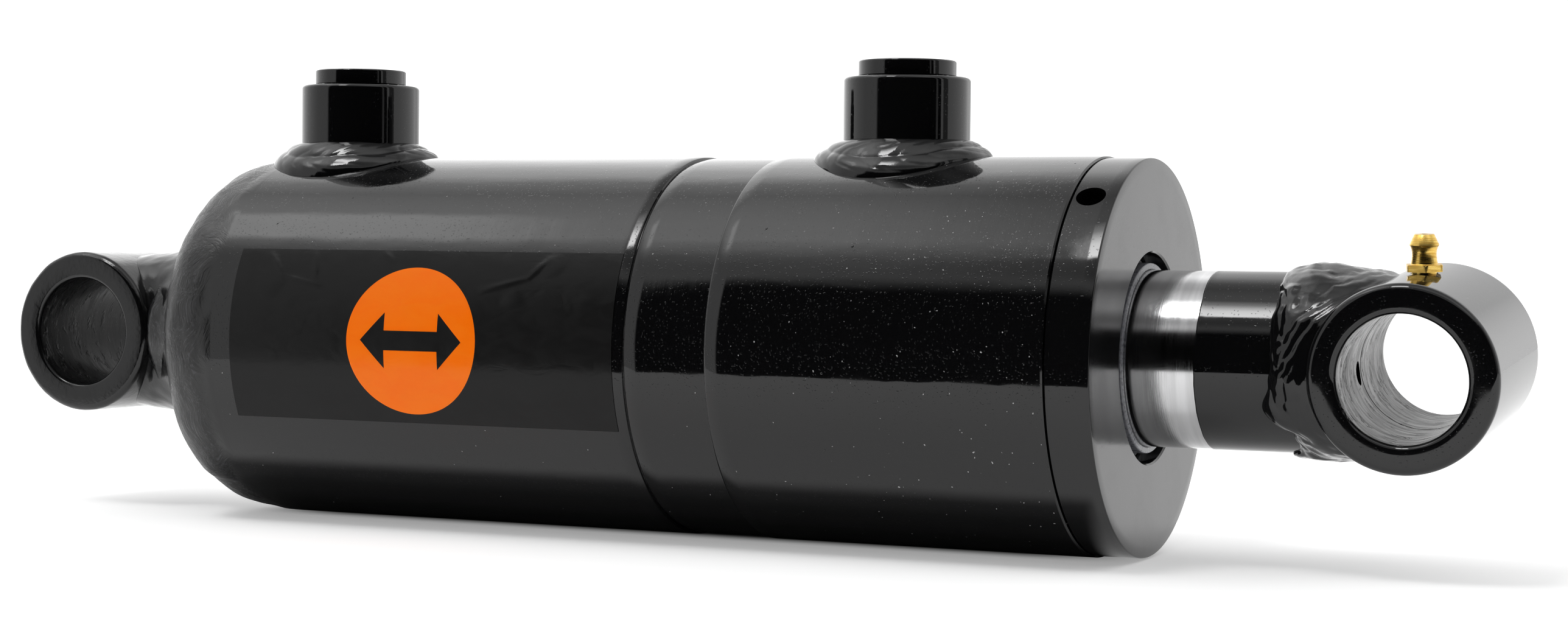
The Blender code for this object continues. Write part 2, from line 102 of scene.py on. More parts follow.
def densify(points, step):
    # more points along straight runs, so that a cut or a displacement has something to work on
    out = [points[0]]
    for a, b in zip(points, points[1:]):
        count = max(1, math.ceil(math.dist(a, b) / step))
        out += [tuple(p + (q - p) * i / count for p, q in zip(a, b)) for i in range(1, count + 1)]
    return out


def spline(points, perSpan):
    # a Catmull-Rom curve through the points
    ends = [points[0]] + list(points) + [points[-1]]
    out = []
    for p0, p1, p2, p3 in zip(ends, ends[1:], ends[2:], ends[3:]):
        for i in range(perSpan):
            t = i / perSpan
            out.append(tuple(
                0.5 * (2 * b + (c - a) * t + (2 * a - 5 * b + 4 * c - d) * t ** 2
                       + (3 * b - a - 3 * c + d) * t ** 3)
                for a, b, c, d in zip(p0, p1, p2, p3)
            ))
    out.append(tuple(points[-1]))
    return out


def bezier(p0, p1, p2, p3, t):
    return p0 * (1 - t) ** 3 + p1 * 3 * t * (1 - t) ** 2 + p2 * 3 * t * t * (1 - t) + p3 * t ** 3


def inMm(points):
    return [(a * mm, b * mm) for a, b in points]


def link(name, data):
    obj = bpy.data.objects.new(name, data)
    bpy.context.scene.collection.objects.link(obj)
    return obj


def meshOf(name, verts, faces):
    mesh = bpy.data.meshes.new(name)
    mesh.from_pydata(verts, [], faces)
    return mesh


def addPiece(name, mesh, sharp=32):
    # every piece comes through here: welded, faces outwards, smooth but for its real edges
    shape = bmesh.new()
    shape.from_mesh(mesh)
    bmesh.ops.remove_doubles(shape, verts=shape.verts, dist=0.002 * mm)
    bmesh.ops.dissolve_degenerate(shape, edges=shape.edges, dist=0.001 * mm)
    bmesh.ops.recalc_face_normals(shape, faces=shape.faces)
    if shape.calc_volume(signed=True) < 0:
        bmesh.ops.reverse_faces(shape, faces=shape.faces)
    shape.to_mesh(mesh)
    shape.free()
    mesh.shade_smooth()
    mesh.set_sharp_from_angle(angle=math.radians(sharp))
    return link(name, mesh)


def skin(name, rows, ringed=False, marks=None, sharp=32):
    # rows of points that each close on themselves; ringed joins the last row to the first,
    # and otherwise the end rows are left open, so each should be a pole
    around = len(rows[0])
    verts = [point for row in rows for point in row]
    faces = []
    for i in range(len(rows) if ringed else len(rows) - 1):
        a = i * around
        b = (i + 1) % len(rows) * around
        for j in range(around):
            k = (j + 1) % around
            faces.append((a + j, a + k, b + k, b + j))
    mesh = meshOf(name, verts, faces)
    for mark, values in (marks or {}).items():
        layer = mesh.attributes.new(mark, "FLOAT", "POINT")
        layer.data.foreach_set("value", values)
    return addPiece(name, mesh, sharp)


def place(axis, centre=(0, 0, 0), turn=None):
    # from (across, height, other across) on a lathe to the row frame
    base = {
        "x": Matrix(((0, 1, 0, 0), (0, 0, 1, 0), (1, 0, 0, 0), (0, 0, 0, 1))),
        "y": Matrix(((1, 0, 0, 0), (0, 1, 0, 0), (0, 0, 1, 0), (0, 0, 0, 1))),
        "z": Matrix(((1, 0, 0, 0), (0, 0, 1, 0), (0, 1, 0, 0), (0, 0, 0, 1))),
    }[axis]
    return (turn or Matrix.Identity(4)) @ Matrix.Translation(centre) @ base


def turned(name, outline, axis="x", centre=(0, 0, 0), steps=192, turn=None,
           ringed=True, shift=None, sharp=32):
    # a lathe shape from (radius, height) points; shift may move a point by (radius, height, angle)
    matrix = place(axis, centre, turn)
    rows = []
    for radius, height in outline:
        row = []
        for j in range(steps):
            angle = tau * j / steps
            r, h = shift(radius, height, angle) if shift else (radius, height)
            row.append(matrix @ Vector((r * math.cos(angle), h, r * math.sin(angle))))
        rows.append(row)
    return skin(name, rows, ringed, sharp=sharp)


def drill(obj, radius, start, end, matrix, steps=48):
    # cuts a round hole from start to end along the matrix's Z
    mesh = bpy.data.meshes.new("drill")
    shape = bmesh.new()
    where = matrix @ Matrix.Translation((0, 0, (start + end) / 2))
    bmesh.ops.create_cone(
        shape, cap_ends=True, segments=steps, radius1=radius, radius2=radius, depth=end - start, matrix=where
    )
    shape.to_mesh(mesh)
    shape.free()
    tool = link("drill", mesh)
    cut = obj.modifiers.new("cut", "BOOLEAN")
    cut.operation = "DIFFERENCE"
    cut.object = tool
    settle(obj)
    bpy.data.objects.remove(tool)
    obj.data.set_sharp_from_angle(angle=math.radians(32))


def settle(obj):
    # turns the evaluated object into a plain mesh and drops its modifiers
    graph = bpy.context.evaluated_depsgraph_get()
    mesh = bpy.data.meshes.new_from_object(obj.evaluated_get(graph))
    obj.modifiers.clear()
    obj.data = mesh


def dress(obj, material, body, slotName, *nodes):
    obj.data.materials.clear()
    obj.data.materials.append(material)
    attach(obj, body)
    if nodes:
        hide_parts(*nodes)
    return obj


# materials

def linear(hexColour):
    parts = [int(hexColour[i:i + 2], 16) / 255 for i in (1, 3, 5)]
    return [c / 12.92 if c <= 0.04045 else ((c + 0.055) / 1.055) ** 2.4 for c in parts] + [1.0]


def addNode(tree, kind, settings=None, inputs=None):
    # adds a node, sets it, and links an input where its value is a socket
    node = tree.nodes.new(kind)
    for key, value in (settings or {}).items():
        setattr(node, key, value)
    for key, value in (inputs or {}).items():
        socket = node.inputs[key]
        if isinstance(value, bpy.types.NodeSocket):
            tree.links.new(value, socket)
        else:
            socket.default_value = value
    return node


def treeOf(*values):
    # the node tree that these sockets belong to
    return next(value.id_data for value in values if isinstance(value, bpy.types.NodeSocket))


def feed(tree, kind, inputs=None, settings=None):
    # adds a node and gives its first output
    return addNode(tree, kind, settings, inputs).outputs[0]


def split(vector):
    return addNode(treeOf(vector), "ShaderNodeSeparateXYZ", None, {"Vector": vector}).outputs


def newMaterial(name, hexColour, roughness, metallic=0.0, extra=None):
    material = bpy.data.materials.new(name)
    material.use_nodes = True
    tree = material.node_tree
    shader = tree.nodes["Principled BSDF"]
    shader.inputs["Base Color"].default_value = linear(hexColour)
    shader.inputs["Roughness"].default_value = roughness
    shader.inputs["Metallic"].default_value = metallic
    for key, value in (extra or {}).items():
        shader.inputs[key].default_value = value
    place3d = addNode(tree, "ShaderNodeTexCoord").outputs["Object"]
    return material, shader, place3d


def grain(coords, size, squeeze=(1, 1, 1), detail=2.0, rough=0.5, distort=0.0):
    # noise whose grain is about this many metres, squeezed to make streaks
    tree = treeOf(coords)
    scaled = feed(tree, "ShaderNodeMapping", {"Vector": coords, "Scale": squeeze})
    inputs = {"Vector": scaled, "Scale": 1 / size, "Detail": detail}
    inputs.update({"Roughness": rough, "Distortion": distort})
    return addNode(tree, "ShaderNodeTexNoise", None, inputs).outputs["Fac"]


def between(value, fromLow, fromHigh, toLow, toHigh, kind="SMOOTHSTEP"):
    inputs = {"Value": value, "From Min": fromLow, "From Max": fromHigh, "To Min": toLow, "To Max": toHigh}
    return feed(treeOf(value), "ShaderNodeMapRange", inputs, {"interpolation_type": kind})


def calc(operation, *values):
    return feed(treeOf(*values), "ShaderNodeMath", dict(enumerate(values)), {"operation": operation})


def times(a, b):
    return calc("MULTIPLY", a, b)


def plus(a, b):
    return calc("ADD", a, b)


def minus(a, b):
    return calc("SUBTRACT", a, b)


def shine(shader, pattern, low, high, atLow, atHigh):
    # roughness that runs from atLow to atHigh as the pattern goes from low to high
    shader.id_data.links.new(between(pattern, low, high, atLow, atHigh), shader.inputs["Roughness"])


def relief(shader, layers):
    # stacks bumps of (pattern, height in metres) on the shader
    tree = shader.id_data
    normal = None
    for pattern, height in layers:
        inputs = {"Height": pattern, "Distance": height, "Strength": 1.0}
        if normal:
            inputs["Normal"] = normal
        normal = addNode(tree, "ShaderNodeBump", None, inputs).outputs["Normal"]
    tree.links.new(normal, shader.inputs["Normal"])


def tint(shader, pattern, darkHex, lightHex):
    tree = shader.id_data
    node = addNode(tree, "ShaderNodeMix", {"data_type": "RGBA"}, {"Factor": pattern})
    node.inputs[6].default_value = linear(darkHex)
    node.inputs[7].default_value = linear(lightHex)
    tree.links.new(node.outputs[2], shader.inputs["Base Color"])


enamel = {
    "black": "#0C0C0D",
    "dust": "#B0B0B0",
    "scratch": "#343437",
    "nib": 0.5 * mm,  # dust caught in the paint
    "peel": 2.6 * mm,  # the ripple of sprayed paint
}


def barrelEnamelMaterial():
    # gloss enamel sprayed over drawn tube: long mirror reflections, broken by fine rings round the tube
    material, shader, at = newMaterial("gloss enamel over drawn tube", enamel["black"], 0.045)
    rings = grain(at, 1.1 * mm, (1, 0.035, 0.035), 4, 0.65)
    wave = grain(at, 9 * mm, (1, 0.3, 0.3), 2)
    drawn = grain(at, 17 * mm, (0.3, 1, 1), 3, 0.6)
    peel = grain(at, enamel["peel"])
    nibs = between(grain(at, enamel["nib"], detail=0), 0.72, 0.8, 0, 1)
    relief(shader, [(drawn, 0.14 * mm), (wave, 0.03 * mm), (rings, 0.0045 * mm), (peel, 0.005 * mm),
                          (nibs, 0.02 * mm)])
    haze = grain(at, 14 * mm, (1, 0.25, 0.25), 5, 0.6)
    shine(shader, haze, 0.35, 0.7, 0.035, 0.085)
    along = split(at)[0]
    nearHead = between(along, 200 * mm, 290 * mm, 0.9, 0.845)  # more dust settles by the gland
    dust = calc("GREATER_THAN", grain(at, 0.7 * mm, detail=0), nearHead)
    tint(shader, dust, enamel["black"], enamel["dust"])
    return material


def turnedEnamelMaterial():
    # enamel over a bar turned to size: crisp mirror reflections with a trace of orange peel
    material, shader, at = newMaterial("gloss enamel over turned steel", enamel["black"], 0.04)
    peel = grain(at, enamel["peel"])
    nibs = between(grain(at, enamel["nib"], detail=0), 0.74, 0.82, 0, 1)
    relief(shader, [(peel, 0.003 * mm), (nibs, 0.012 * mm)])
    haze = grain(at, 7 * mm, detail=4)
    shine(shader, haze, 0.35, 0.7, 0.03, 0.075)
    return material


def castEnamelMaterial():
    # enamel over hot-finished tube: the skin's pits show through as small broken glints
    material, shader, at = newMaterial("gloss enamel over hot rolled skin", enamel["black"], 0.09)
    pits = grain(at, 1.5 * mm, detail=5, rough=0.62)
    broad = grain(at, 5 * mm, detail=2)
    relief(shader, [(broad, 0.06 * mm), (pits, 0.05 * mm)])
    shine(shader, pits, 0.35, 0.7, 0.16, 0.06)
    return material


def groundEnamelMaterial():
    # enamel over a weld dressed with a grinding disc: swirled scratches under the gloss
    material, shader, at = newMaterial("gloss enamel over ground weld", enamel["black"], 0.11)
    tree = treeOf(at)
    swirl = addNode(tree, "ShaderNodeTexNoise", None, {"Vector": at, "Scale": 1 / (16 * mm), "Detail": 1.0})
    push = {"Scale": 0.02, "Vector": swirl.outputs["Color"]}
    shifted = feed(tree, "ShaderNodeVectorMath", push, {"operation": "SCALE"})
    bent = feed(tree, "ShaderNodeVectorMath", {0: at, 1: shifted}, {"operation": "ADD"})
    scratches = grain(bent, 1.3 * mm, (1.0, 1.0, 0.16), 4, 0.6, 0.6)
    facets = grain(at, 7 * mm, (1, 0.6, 0.6), 1)
    along = split(at)[0]
    dressed = between(along, 59 * mm, 67 * mm, 1, 0)  # the disc marks fade out on to the tube
    facets = times(facets, dressed)
    marks = times(scratches, dressed)
    hair = times(grain(bent, 0.55 * mm, (1.0, 0.9, 0.1), 2, 0.6), dressed)
    relief(shader, [(facets, 0.16 * mm), (marks, 0.16 * mm), (hair, 0.035 * mm)])
    shine(shader, marks, 0.1, 0.6, 0.06, 0.36)
    tint(shader, between(hair, 0.54, 0.66, 0, 1), enamel["black"], enamel["scratch"])
    return material


def boreMaterial(name, specular, depth):
    # thin paint on a bored wall, with the tool's lines round it
    material, shader, at = newMaterial(name, "#0B0B0C", 0.3, extra={"Specular IOR Level": specular})
    lines = grain(at, 1.4 * mm, (0.15, 1, 0.15), 3, 0.6)
    torn = between(grain(at, 3 * mm, (0.5, 1, 0.5), 4, 0.7, 0.8), 0.56, 0.66, 0, 1)
    relief(shader, [(lines, depth), (torn, 4 * depth)])
    shine(shader, lines, 0.3, 0.7, 0.2, 0.4)
    return material


def weldEnamelMaterial():
    # enamel that has flowed over weld metal: wet gloss with small dimples
    material, shader, at = newMaterial("gloss enamel over weld bead", enamel["black"], 0.05)
    dimples = grain(at, 1.9 * mm, detail=3, distort=0.5)
    relief(shader, [(dimples, 0.03 * mm)])
    haze = grain(at, 4 * mm, detail=4)
    shine(shader, haze, 0.4, 0.7, 0.035, 0.12)
    return material


def turnedFaceMaterial():
    # thin satin paint over a faced surface: reflections smeared a little across fine circular tool lines
    material, shader, at = newMaterial("satin paint over faced steel", "#101011", 0.13)
    x, y, z = split(at)
    square = plus(calc("POWER", y, 2.0), calc("POWER", z, 2.0))
    flat = feed(treeOf(at), "ShaderNodeCombineXYZ", {"X": calc("SQRT", square), "Y": x})
    # the lines are finer on the real face, and drawn coarser so that they show
    rings = grain(flat, 0.5 * mm, (1, 0.2, 1), 2)
    specks = between(grain(at, 0.7 * mm, detail=1), 0.68, 0.78, 0, 1)
    relief(shader, [(rings, 0.0012 * mm), (specks, 0.01 * mm)])
    haze = grain(at, 10 * mm, detail=5)
    shine(shader, haze, 0.35, 0.7, 0.10, 0.18)
    return material


def chromeMaterial():
    # hard chrome, ground and polished round the bar: bright, with fine rings and a soft smear
    material, shader, at = newMaterial("hard chrome ground and polished", "#C9C9CA", 0.10, 1.0)
    # rings too fine for the eye to part, which spread the shine along the bar
    rings = grain(at, 0.14 * mm, (1, 0.01, 0.01), 2, 0.6)
    broad = grain(at, 3.2 * mm, (1, 0.1, 0.1), 3)
    smudge = grain(at, 9 * mm, (1, 0.6, 0.6), 4)
    relief(shader, [(rings, 0.0045 * mm)])
    mixed = times(plus(rings, smudge), 0.5)
    shine(shader, mixed, 0.35, 0.65, 0.09, 0.17)
    tint(shader, between(broad, 0.3, 0.7, 0, 1), "#BBBBBC", "#D2D2D3")
    return material


def plainMetalMaterial(name, darkHex, lightHex, roughness, size, squeeze=(1, 1, 1)):
    # cut metal: tool lines in one direction under a soft shine
    material, shader, at = newMaterial(name, lightHex, roughness, 1.0)
    lines = grain(at, size, squeeze, 3, 0.6)
    relief(shader, [(lines, 0.006 * mm)])
    tint(shader, between(lines, 0.3, 0.7, 0, 1), darkHex, lightHex)
    shine(shader, lines, 0.3, 0.7, roughness * 1.3, roughness * 0.8)
    return material


def softMaterial(name, darkHex, lightHex, roughness):
    # moulded rubber or nylon: an even matt skin with faint mottling
    material, shader, at = newMaterial(name, darkHex, roughness)
    mottle = grain(at, 0.9 * mm, detail=4)
    relief(shader, [(mottle, 0.01 * mm)])
    tint(shader, between(mottle, 0.35, 0.7, 0, 1), darkHex, lightHex)
    shine(shader, mottle, 0.3, 0.7, roughness * 0.85, roughness * 1.1)
    return material


def filmMaterial(name, hexColour, paleHex, glow=0.0):
    # printed matt vinyl: it gives back much less of the room than the paint, with soft wrinkles
    material, shader, at = newMaterial(name, hexColour, 0.26, extra={"Specular IOR Level": 0.18})
    wrinkles = grain(at, 9 * mm, (1, 1, 2.2), 3, 0.55, 0.7)
    fine = grain(at, 0.6 * mm, detail=2)
    relief(shader, [(wrinkles, 0.07 * mm), (fine, 0.003 * mm)])
    # the emission is painted light: a fixed glow, used on the orange print, that stands in for the ink's
    # fluorescence
    shader.inputs["Emission Color"].default_value = linear(hexColour)
    shader.inputs["Emission Strength"].default_value = glow
    tint(shader, between(wrinkles, 0.35, 0.7, 0, 1), hexColour, paleHex)
    shine(shader, wrinkles, 0.3, 0.7, 0.15, 0.22)
    return material


look = {
    "barrel": barrelEnamelMaterial(),
    "turned": turnedEnamelMaterial(),
    "cast": castEnamelMaterial(),
    "ground": groundEnamelMaterial(),
    "weld": weldEnamelMaterial(),
    "bore": boreMaterial("dull overspray in a bored hole", 0.16, 0.02 * mm),
    "toolMarked": boreMaterial("enamel over a rough bored hole", 0.5, 0.05 * mm),
    "face": turnedFaceMaterial(),
    "chrome": chromeMaterial(),
    "brass": plainMetalMaterial("turned brass", "#D0A348", "#EDCB70", 0.27, 0.3 * mm, (0.05, 0.05, 1)),
    "steel": plainMetalMaterial("machined steel", "#6E6E70", "#A6A6A8", 0.30, 0.8 * mm, (1, 0.05, 0.05)),
    "rubber": softMaterial("moulded nitrile rubber", "#0B0B0B", "#1B1B1B", 0.55),
    "urethane": softMaterial("moulded polyurethane", "#636469", "#77787D", 0.30),
    "nylon": softMaterial("machined nylon", "#B79A63", "#D8C08A", 0.48),
    "film": filmMaterial("matt printed vinyl", "#191919", "#1B1B1B"),
    # the orange print glows a little by itself, which is painted light
    "orange": filmMaterial("fluorescent orange print on vinyl with painted glow", "#FF7200", "#FF7806", 0.12),
}
print("materials made:", len(look))


# the barrel

barrel = {
    "start": 65.5 * mm,
    "end": collarStartX,
    "bore": 44.45 * mm,
    "band": (192.1 * mm, 215.5 * mm),  # a shallow turned band between the ports
    # the band's two edges, as (along, deep) in mm
    "bandLeft": ((-0.2, 0.0), (0.0, 0.1), (0.2, 0.5), (0.5, 0.5), (0.7, 0.4)),
    "bandRight": ((-0.25, 0.4), (0.0, 0.2), (0.35, 0.0)),
    "endChamfer": 0.4 * mm,
    "thread": 45.8 * mm,
    "threadStart": 274 * mm,
    "portDrill": 6 * mm,
    "steps": 288,
}


def makeBarrel():
    b = barrel
    outside = barrelRadius
    outline = [(b["bore"], b["start"]), (outside, b["start"])]
    for x, edge in zip(b["band"], (b["bandLeft"], b["bandRight"])):
        outline += [(outside - deep * mm, x + along * mm) for along, deep in edge]
    outline += [(outside, b["end"] - b["endChamfer"]), (outside - b["endChamfer"], b["end"])]
    outline += [(b["thread"], b["end"]), (b["thread"], b["threadStart"])]
    outline += [(b["bore"], b["threadStart"] - 1 * mm)]
    tube = turned("barrelTube", densify(outline, 4 * mm), steps=b["steps"])
    for x in portX.values():
        drill(tube, b["portDrill"], 30 * mm, 60 * mm, Matrix.Translation((x, 0, 0)))
    dress(tube, look["barrel"], "barrel", "black_paint", "barrel_tube")


shoulder = {
    # (radius, x) in mm down the ground weld, from the tube to where the neck meets the pin eye
    "profile": [
        (barrelRadius / mm, 68.0), (barrelRadius / mm, 64.8), (50.45, 60.0), (49.9, 55.4), (48.8, 51.2),
        (46.8, 47.7), (43.8, 44.9), (39.8, 42.2), (35.2, 39.8), (31.0, 37.2), (27.7, 34.0), (25.4, 29.8),
        (24.3, 25.0),
    ],
    "facet": 0.28 * mm,  # how far the grinding disc dug in
    "passEnd": 217,  # where the weld pass ended, in degrees from +Y towards +Z
    "passStep": 0.75 * mm,
    "steps": 288,
}


def shoulderShift(radius, x, angle):
    # angle runs from +Y towards +Z; shallow facets left by a grinding disc, none on the tube itself
    near = smooth((66 * mm - x) / (5 * mm))
    at = (x * 1.3, 50 * mm * math.cos(angle), 50 * mm * math.sin(angle))
    facet = lumps(at, 13 * mm, 3.0) + 0.55 * lumps(at, 6 * mm, 5.0) + 0.25 * lumps(at, 2.5 * mm, 8.0)
    # the end of the weld pass, left as a small step low on the near side
    around = (math.degrees(angle) - shoulder["passEnd"] + 180) % 360 - 180
    onFlank = smooth((x - 44 * mm) / (4 * mm)) * smooth((61 * mm - x) / (3 * mm))
    step = smooth(around / 3 + 0.5) * onFlank * smooth(1 - abs(around - 12) / 30)
    move = shoulder["facet"] * facet * near + shoulder["passStep"] * step
    return min(radius + move, barrelRadius - 0.02 * mm), x - 0.6 * move * near


def makeShoulder():
    outline = inMm([(0.0, 67.0), (44.0, 67.5)]) + spline(inMm(shoulder["profile"]), 7)
    outline += inMm([(20.0, 19.0), (8.0, 19.5), (0.0, 19.5)])
    obj = turned("groundShoulder", outline, steps=shoulder["steps"], ringed=False,
                 shift=shoulderShift, sharp=60)
    dress(obj, look["ground"], "barrel", "black_paint", "base_cap", "base_ring_weld")


eyeNeck = {
    "steps": 240,
    "across": 30,
    "bulge": 0.15 * mm,
    "lump": 0.16 * mm,
    "root": (33.2 * mm, 27.0 * mm),  # (x, radius) where the fillet leaves the shoulder
    "waist": (26.5 * mm, 24.2 * mm),  # and where it is pulled in
    "reach": math.radians(74),  # how far round the eye it climbs
    "back": (34 * mm, 22 * mm),  # its hidden end inside the shoulder
}


def makeEyeNeck():
    # the fillet where the neck meets the pin eye, round the cylinder axis
    n = eyeNeck
    rows = [[] for _ in range(n["across"] + 6)]
    skinR = baseEyeRadius - 0.05 * mm
    wall = baseEyeRadius - 4 * mm
    rootX, rootR = n["root"]
    waistX, waistR = n["waist"]
    backX, backR = n["back"]
    for j in range(n["steps"]):
        phi = tau * j / n["steps"]
        up, side = math.cos(phi), -math.sin(phi)
        toeY = (baseEyeHalf - 1.9 * mm) * side
        toeAngle = n["reach"] * up
        wobble = 0.8 * mm * lumps((math.cos(phi) * 20 * mm, math.sin(phi) * 20 * mm, 0), 9 * mm, 2.0)
        toe = Vector((skinR * math.cos(toeAngle), toeY, skinR * math.sin(toeAngle)))
        start = Vector((rootX + wobble, rootR * side, rootR * up))
        bend = Vector((toe.x + 4.5 * mm, toe.y * 0.985, toe.z * 1.01))
        pull = Vector((waistX, waistR * side, waistR * up))
        outward = Vector((-0.2, side, up)).normalized()
        for i in range(n["across"] + 1):
            t = i / n["across"]
            p = bezier(start, pull, bend, toe, t)
            rise = n["bulge"] * math.exp(-((t - 0.72) / 0.13) ** 2)
            rough = n["lump"] * lumps(p, 3.5 * mm, 6.0) * math.sin(math.pi * min(1, t * 1.02)) ** 0.5
            rows[i].append(p + outward * (rise + rough))
        # the hidden rows, inside the eye's wall and back into the shoulder
        half = toeAngle / 2
        hidden = [(wall * math.cos(toeAngle), toeY * 0.9, wall * math.sin(toeAngle))]
        hidden += [(wall * math.cos(half), toeY * 0.5, wall * math.sin(half)), (wall, 0, 0), (backX, 0, 0)]
        hidden += [(backX, backR * side, backR * up)]
        for row, point in zip(rows[n["across"] + 1:], hidden):
            row.append(Vector(point))
    obj = skin("baseEyeWeld", rows, ringed=True, sharp=60)
    dress(obj, look["cast"], "barrel", "black_paint", "base_eye_weld")


pinEye = {
    "bore": 15.5 * mm,
    "rim": 1.8 * mm,
    "mouth": 1.1 * mm,
    "steps": 192,
}


def eyeOutline(outer, half, bore, rim, mouth, groove=0.0):
    outline = [(bore, mouth - half)] + arc((bore + mouth, mouth - half), mouth, 180, 270, 7)[1:]
    outline += arc((outer - rim, rim - half), rim, 270, 360, 11)
    outline += [(outer, y * half / 9) for y in range(-8, 9)]
    outline += arc((outer - rim, half - rim), rim, 0, 90, 11)
    outline += arc((bore + mouth, half - mouth), mouth, 90, 180, 7)
    rows = int((half - mouth) / (0.8 * mm))
    inside = [(bore, y * (half - mouth) / rows) for y in range(rows - 1, 0, -1)]
    outline += inside + [(bore, 0.3 * mm), (bore + groove, 0.0), (bore, -0.3 * mm)]
    outline += [(bore, -y) for _, y in inside[::-1]]
    return outline


def makeBaseEye():
    outline = eyeOutline(baseEyeRadius, baseEyeHalf, pinEye["bore"], pinEye["rim"], pinEye["mouth"])
    outer = baseEyeRadius

    def roll(radius, y, angle):
        # the hot rolled skin is a little out of round and pitted; the sawn ends are flat
        if radius < outer - 0.6 * pinEye["rim"]:
            return radius, y
        at = (radius * math.cos(angle), y, radius * math.sin(angle))
        pitted = radius - 0.10 * mm + 0.09 * mm * lumps(at, 5 * mm, 1.0) + 0.05 * mm * lumps(at, 2 * mm, 4.0)
        return min(outer, pitted), y

    obj = turned("basePinEye", outline, "y", steps=pinEye["steps"], shift=roll)
    dress(obj, look["cast"], "barrel", "black_paint", "base_cross_tube")
    obj.data.materials.append(look["bore"])
    for face in obj.data.polygons:
        if math.hypot(face.center.x, face.center.z) < pinEye["bore"] + 0.3 * mm:
            face.material_index = 1


# the ports

boss = {
    "foot": 40 * mm,
    "rim": 1.1 * mm,
    "bore": 9.8 * mm,
    "drill": 6 * mm,
    "depth": 15 * mm,
    "lead": 0.7 * mm,
    "steps": 144,
}
bead = {
    "top": 55.0 * mm,  # where it starts on the boss
    "toe": 22.9 * mm,  # the radius where it ends on the tube
    "around": 288,
    "across": 34,
    "ripple": 8.5 * mm,  # from one frozen ripple to the next
    "rippleHeight": 0.14 * mm,
    "lump": 0.42 * mm,
    "crown": 0.6 * mm,
    "passes": (0.30 * mm, 0.42 * mm),  # how far the two passes stand out of the crown
}


def makeBoss(end):
    x = portX[end]
    floor = bossTop - boss["depth"]
    outline = [(boss["drill"], boss["foot"]), (bossRadius, boss["foot"]), (bossRadius, bossTop - 6 * mm)]
    outline += arc((bossRadius - boss["rim"], bossTop - boss["rim"]), boss["rim"], 0, 90, 8)
    outline += [(boss["bore"] + boss["lead"], bossTop), (boss["bore"], bossTop - boss["lead"])]
    outline += [(boss["bore"], floor), (boss["drill"], floor - 2 * mm)]
    obj = turned(f"portBoss_{end}", densify(outline, 3 * mm), "z", (x, 0, 0), boss["steps"])
    dress(obj, look["turned"], "barrel", "black_paint", f"port_boss_{end}")


def tubeTop(y, radius):
    return math.sqrt(max(radius ** 2 - y ** 2, 0.0))


def beadRows(end):
    # a closed ring of sections, each from the boss out to the tube and back underneath
    x0 = portX[end]
    seed = {"base": 11.0, "head": 4.0}[end]
    rows = [[] for _ in range(bead["across"] + 3)]
    for j in range(bead["around"]):
        a = tau * j / bead["around"]
        ring = (math.cos(a) * 20 * mm, math.sin(a) * 20 * mm, seed * 10 * mm)
        wander = lumps(ring, 12 * mm, seed)
        nearSide = max(0.0, -math.sin(a))
        leftSide = max(0.0, -math.cos(a))
        toeR = bead["toe"] + 0.7 * mm * wander + 0.3 * mm * lumps(ring, 5 * mm, seed + 2)
        toeR += 0.8 * mm * nearSide + 1.2 * mm * leftSide
        topZ = bead["top"] + 0.5 * mm * lumps(ring, 10 * mm, seed + 5)
        top = Vector((bossRadius - 0.1 * mm, topZ))
        toe = Vector((toeR, tubeTop(toeR * math.sin(a), barrelRadius) - 0.12 * mm))
        side = Vector((-(toe - top).y, (toe - top).x)).normalized()
        if side.x < 0:
            side = -side
        meet = 0.5 + 0.08 * wander  # where the two passes meet
        for i in range(bead["across"] + 1):
            t = i / bead["across"]
            first = math.sin(math.pi * min(t / meet, 1.0)) ** 0.8
            second = math.sin(math.pi * min((1 - t) / (1 - meet), 1.0)) ** 0.8
            hump = bead["passes"][0] * first if t < meet else bead["passes"][1] * second
            hump += bead["crown"] * math.sin(math.pi * t) ** 0.7
            point = top + (toe - top) * t + side * hump
            rows[i].append(Vector((x0 + point.x * math.cos(a), point.x * math.sin(a), point.y)))
        inner = bossRadius - 2 * mm
        for row, r, over in ((rows[-2], toeR - 1.5 * mm, toeR), (rows[-1], inner, inner)):
            low = tubeTop(over * math.sin(a), barrelRadius) - 2.5 * mm
            row.append(Vector((x0 + r * math.cos(a), r * math.sin(a), low)))
    return rows


def beadMarks(rows, across, radius):
    # how far along and across the bead each point lies
    around = len(rows[0])
    travel = [radius * tau * j / around for _ in rows for j in range(around)]
    share = [i / across if i <= across else 0.0 for i in range(len(rows)) for _ in range(around)]
    return {"travel": travel, "across": share}


def newTree(name, floats, whole=(), takesGeometry=True):
    # a node tree with these named inputs, and Material as the last
    tree = bpy.data.node_groups.new(name, "GeometryNodeTree")
    tree.interface.new_socket("Geometry", in_out="OUTPUT", socket_type="NodeSocketGeometry")
    sockets = [("Geometry", "Geometry")] if takesGeometry else []
    sockets += [(item, "Float") for item in floats] + [(item, "Int") for item in whole]
    for socketName, kind in sockets + [("Material", "Material")]:
        tree.interface.new_socket(socketName, in_out="INPUT", socket_type="NodeSocket" + kind)
    return tree, addNode(tree, "NodeGroupInput").outputs


def endTree(tree, geometry, material):
    real = feed(tree, "GeometryNodeRealizeInstances", {"Geometry": geometry})
    done = feed(tree, "GeometryNodeSetMaterial", {"Geometry": real, "Material": material})
    addNode(tree, "NodeGroupOutput", None, {"Geometry": done})
    return tree


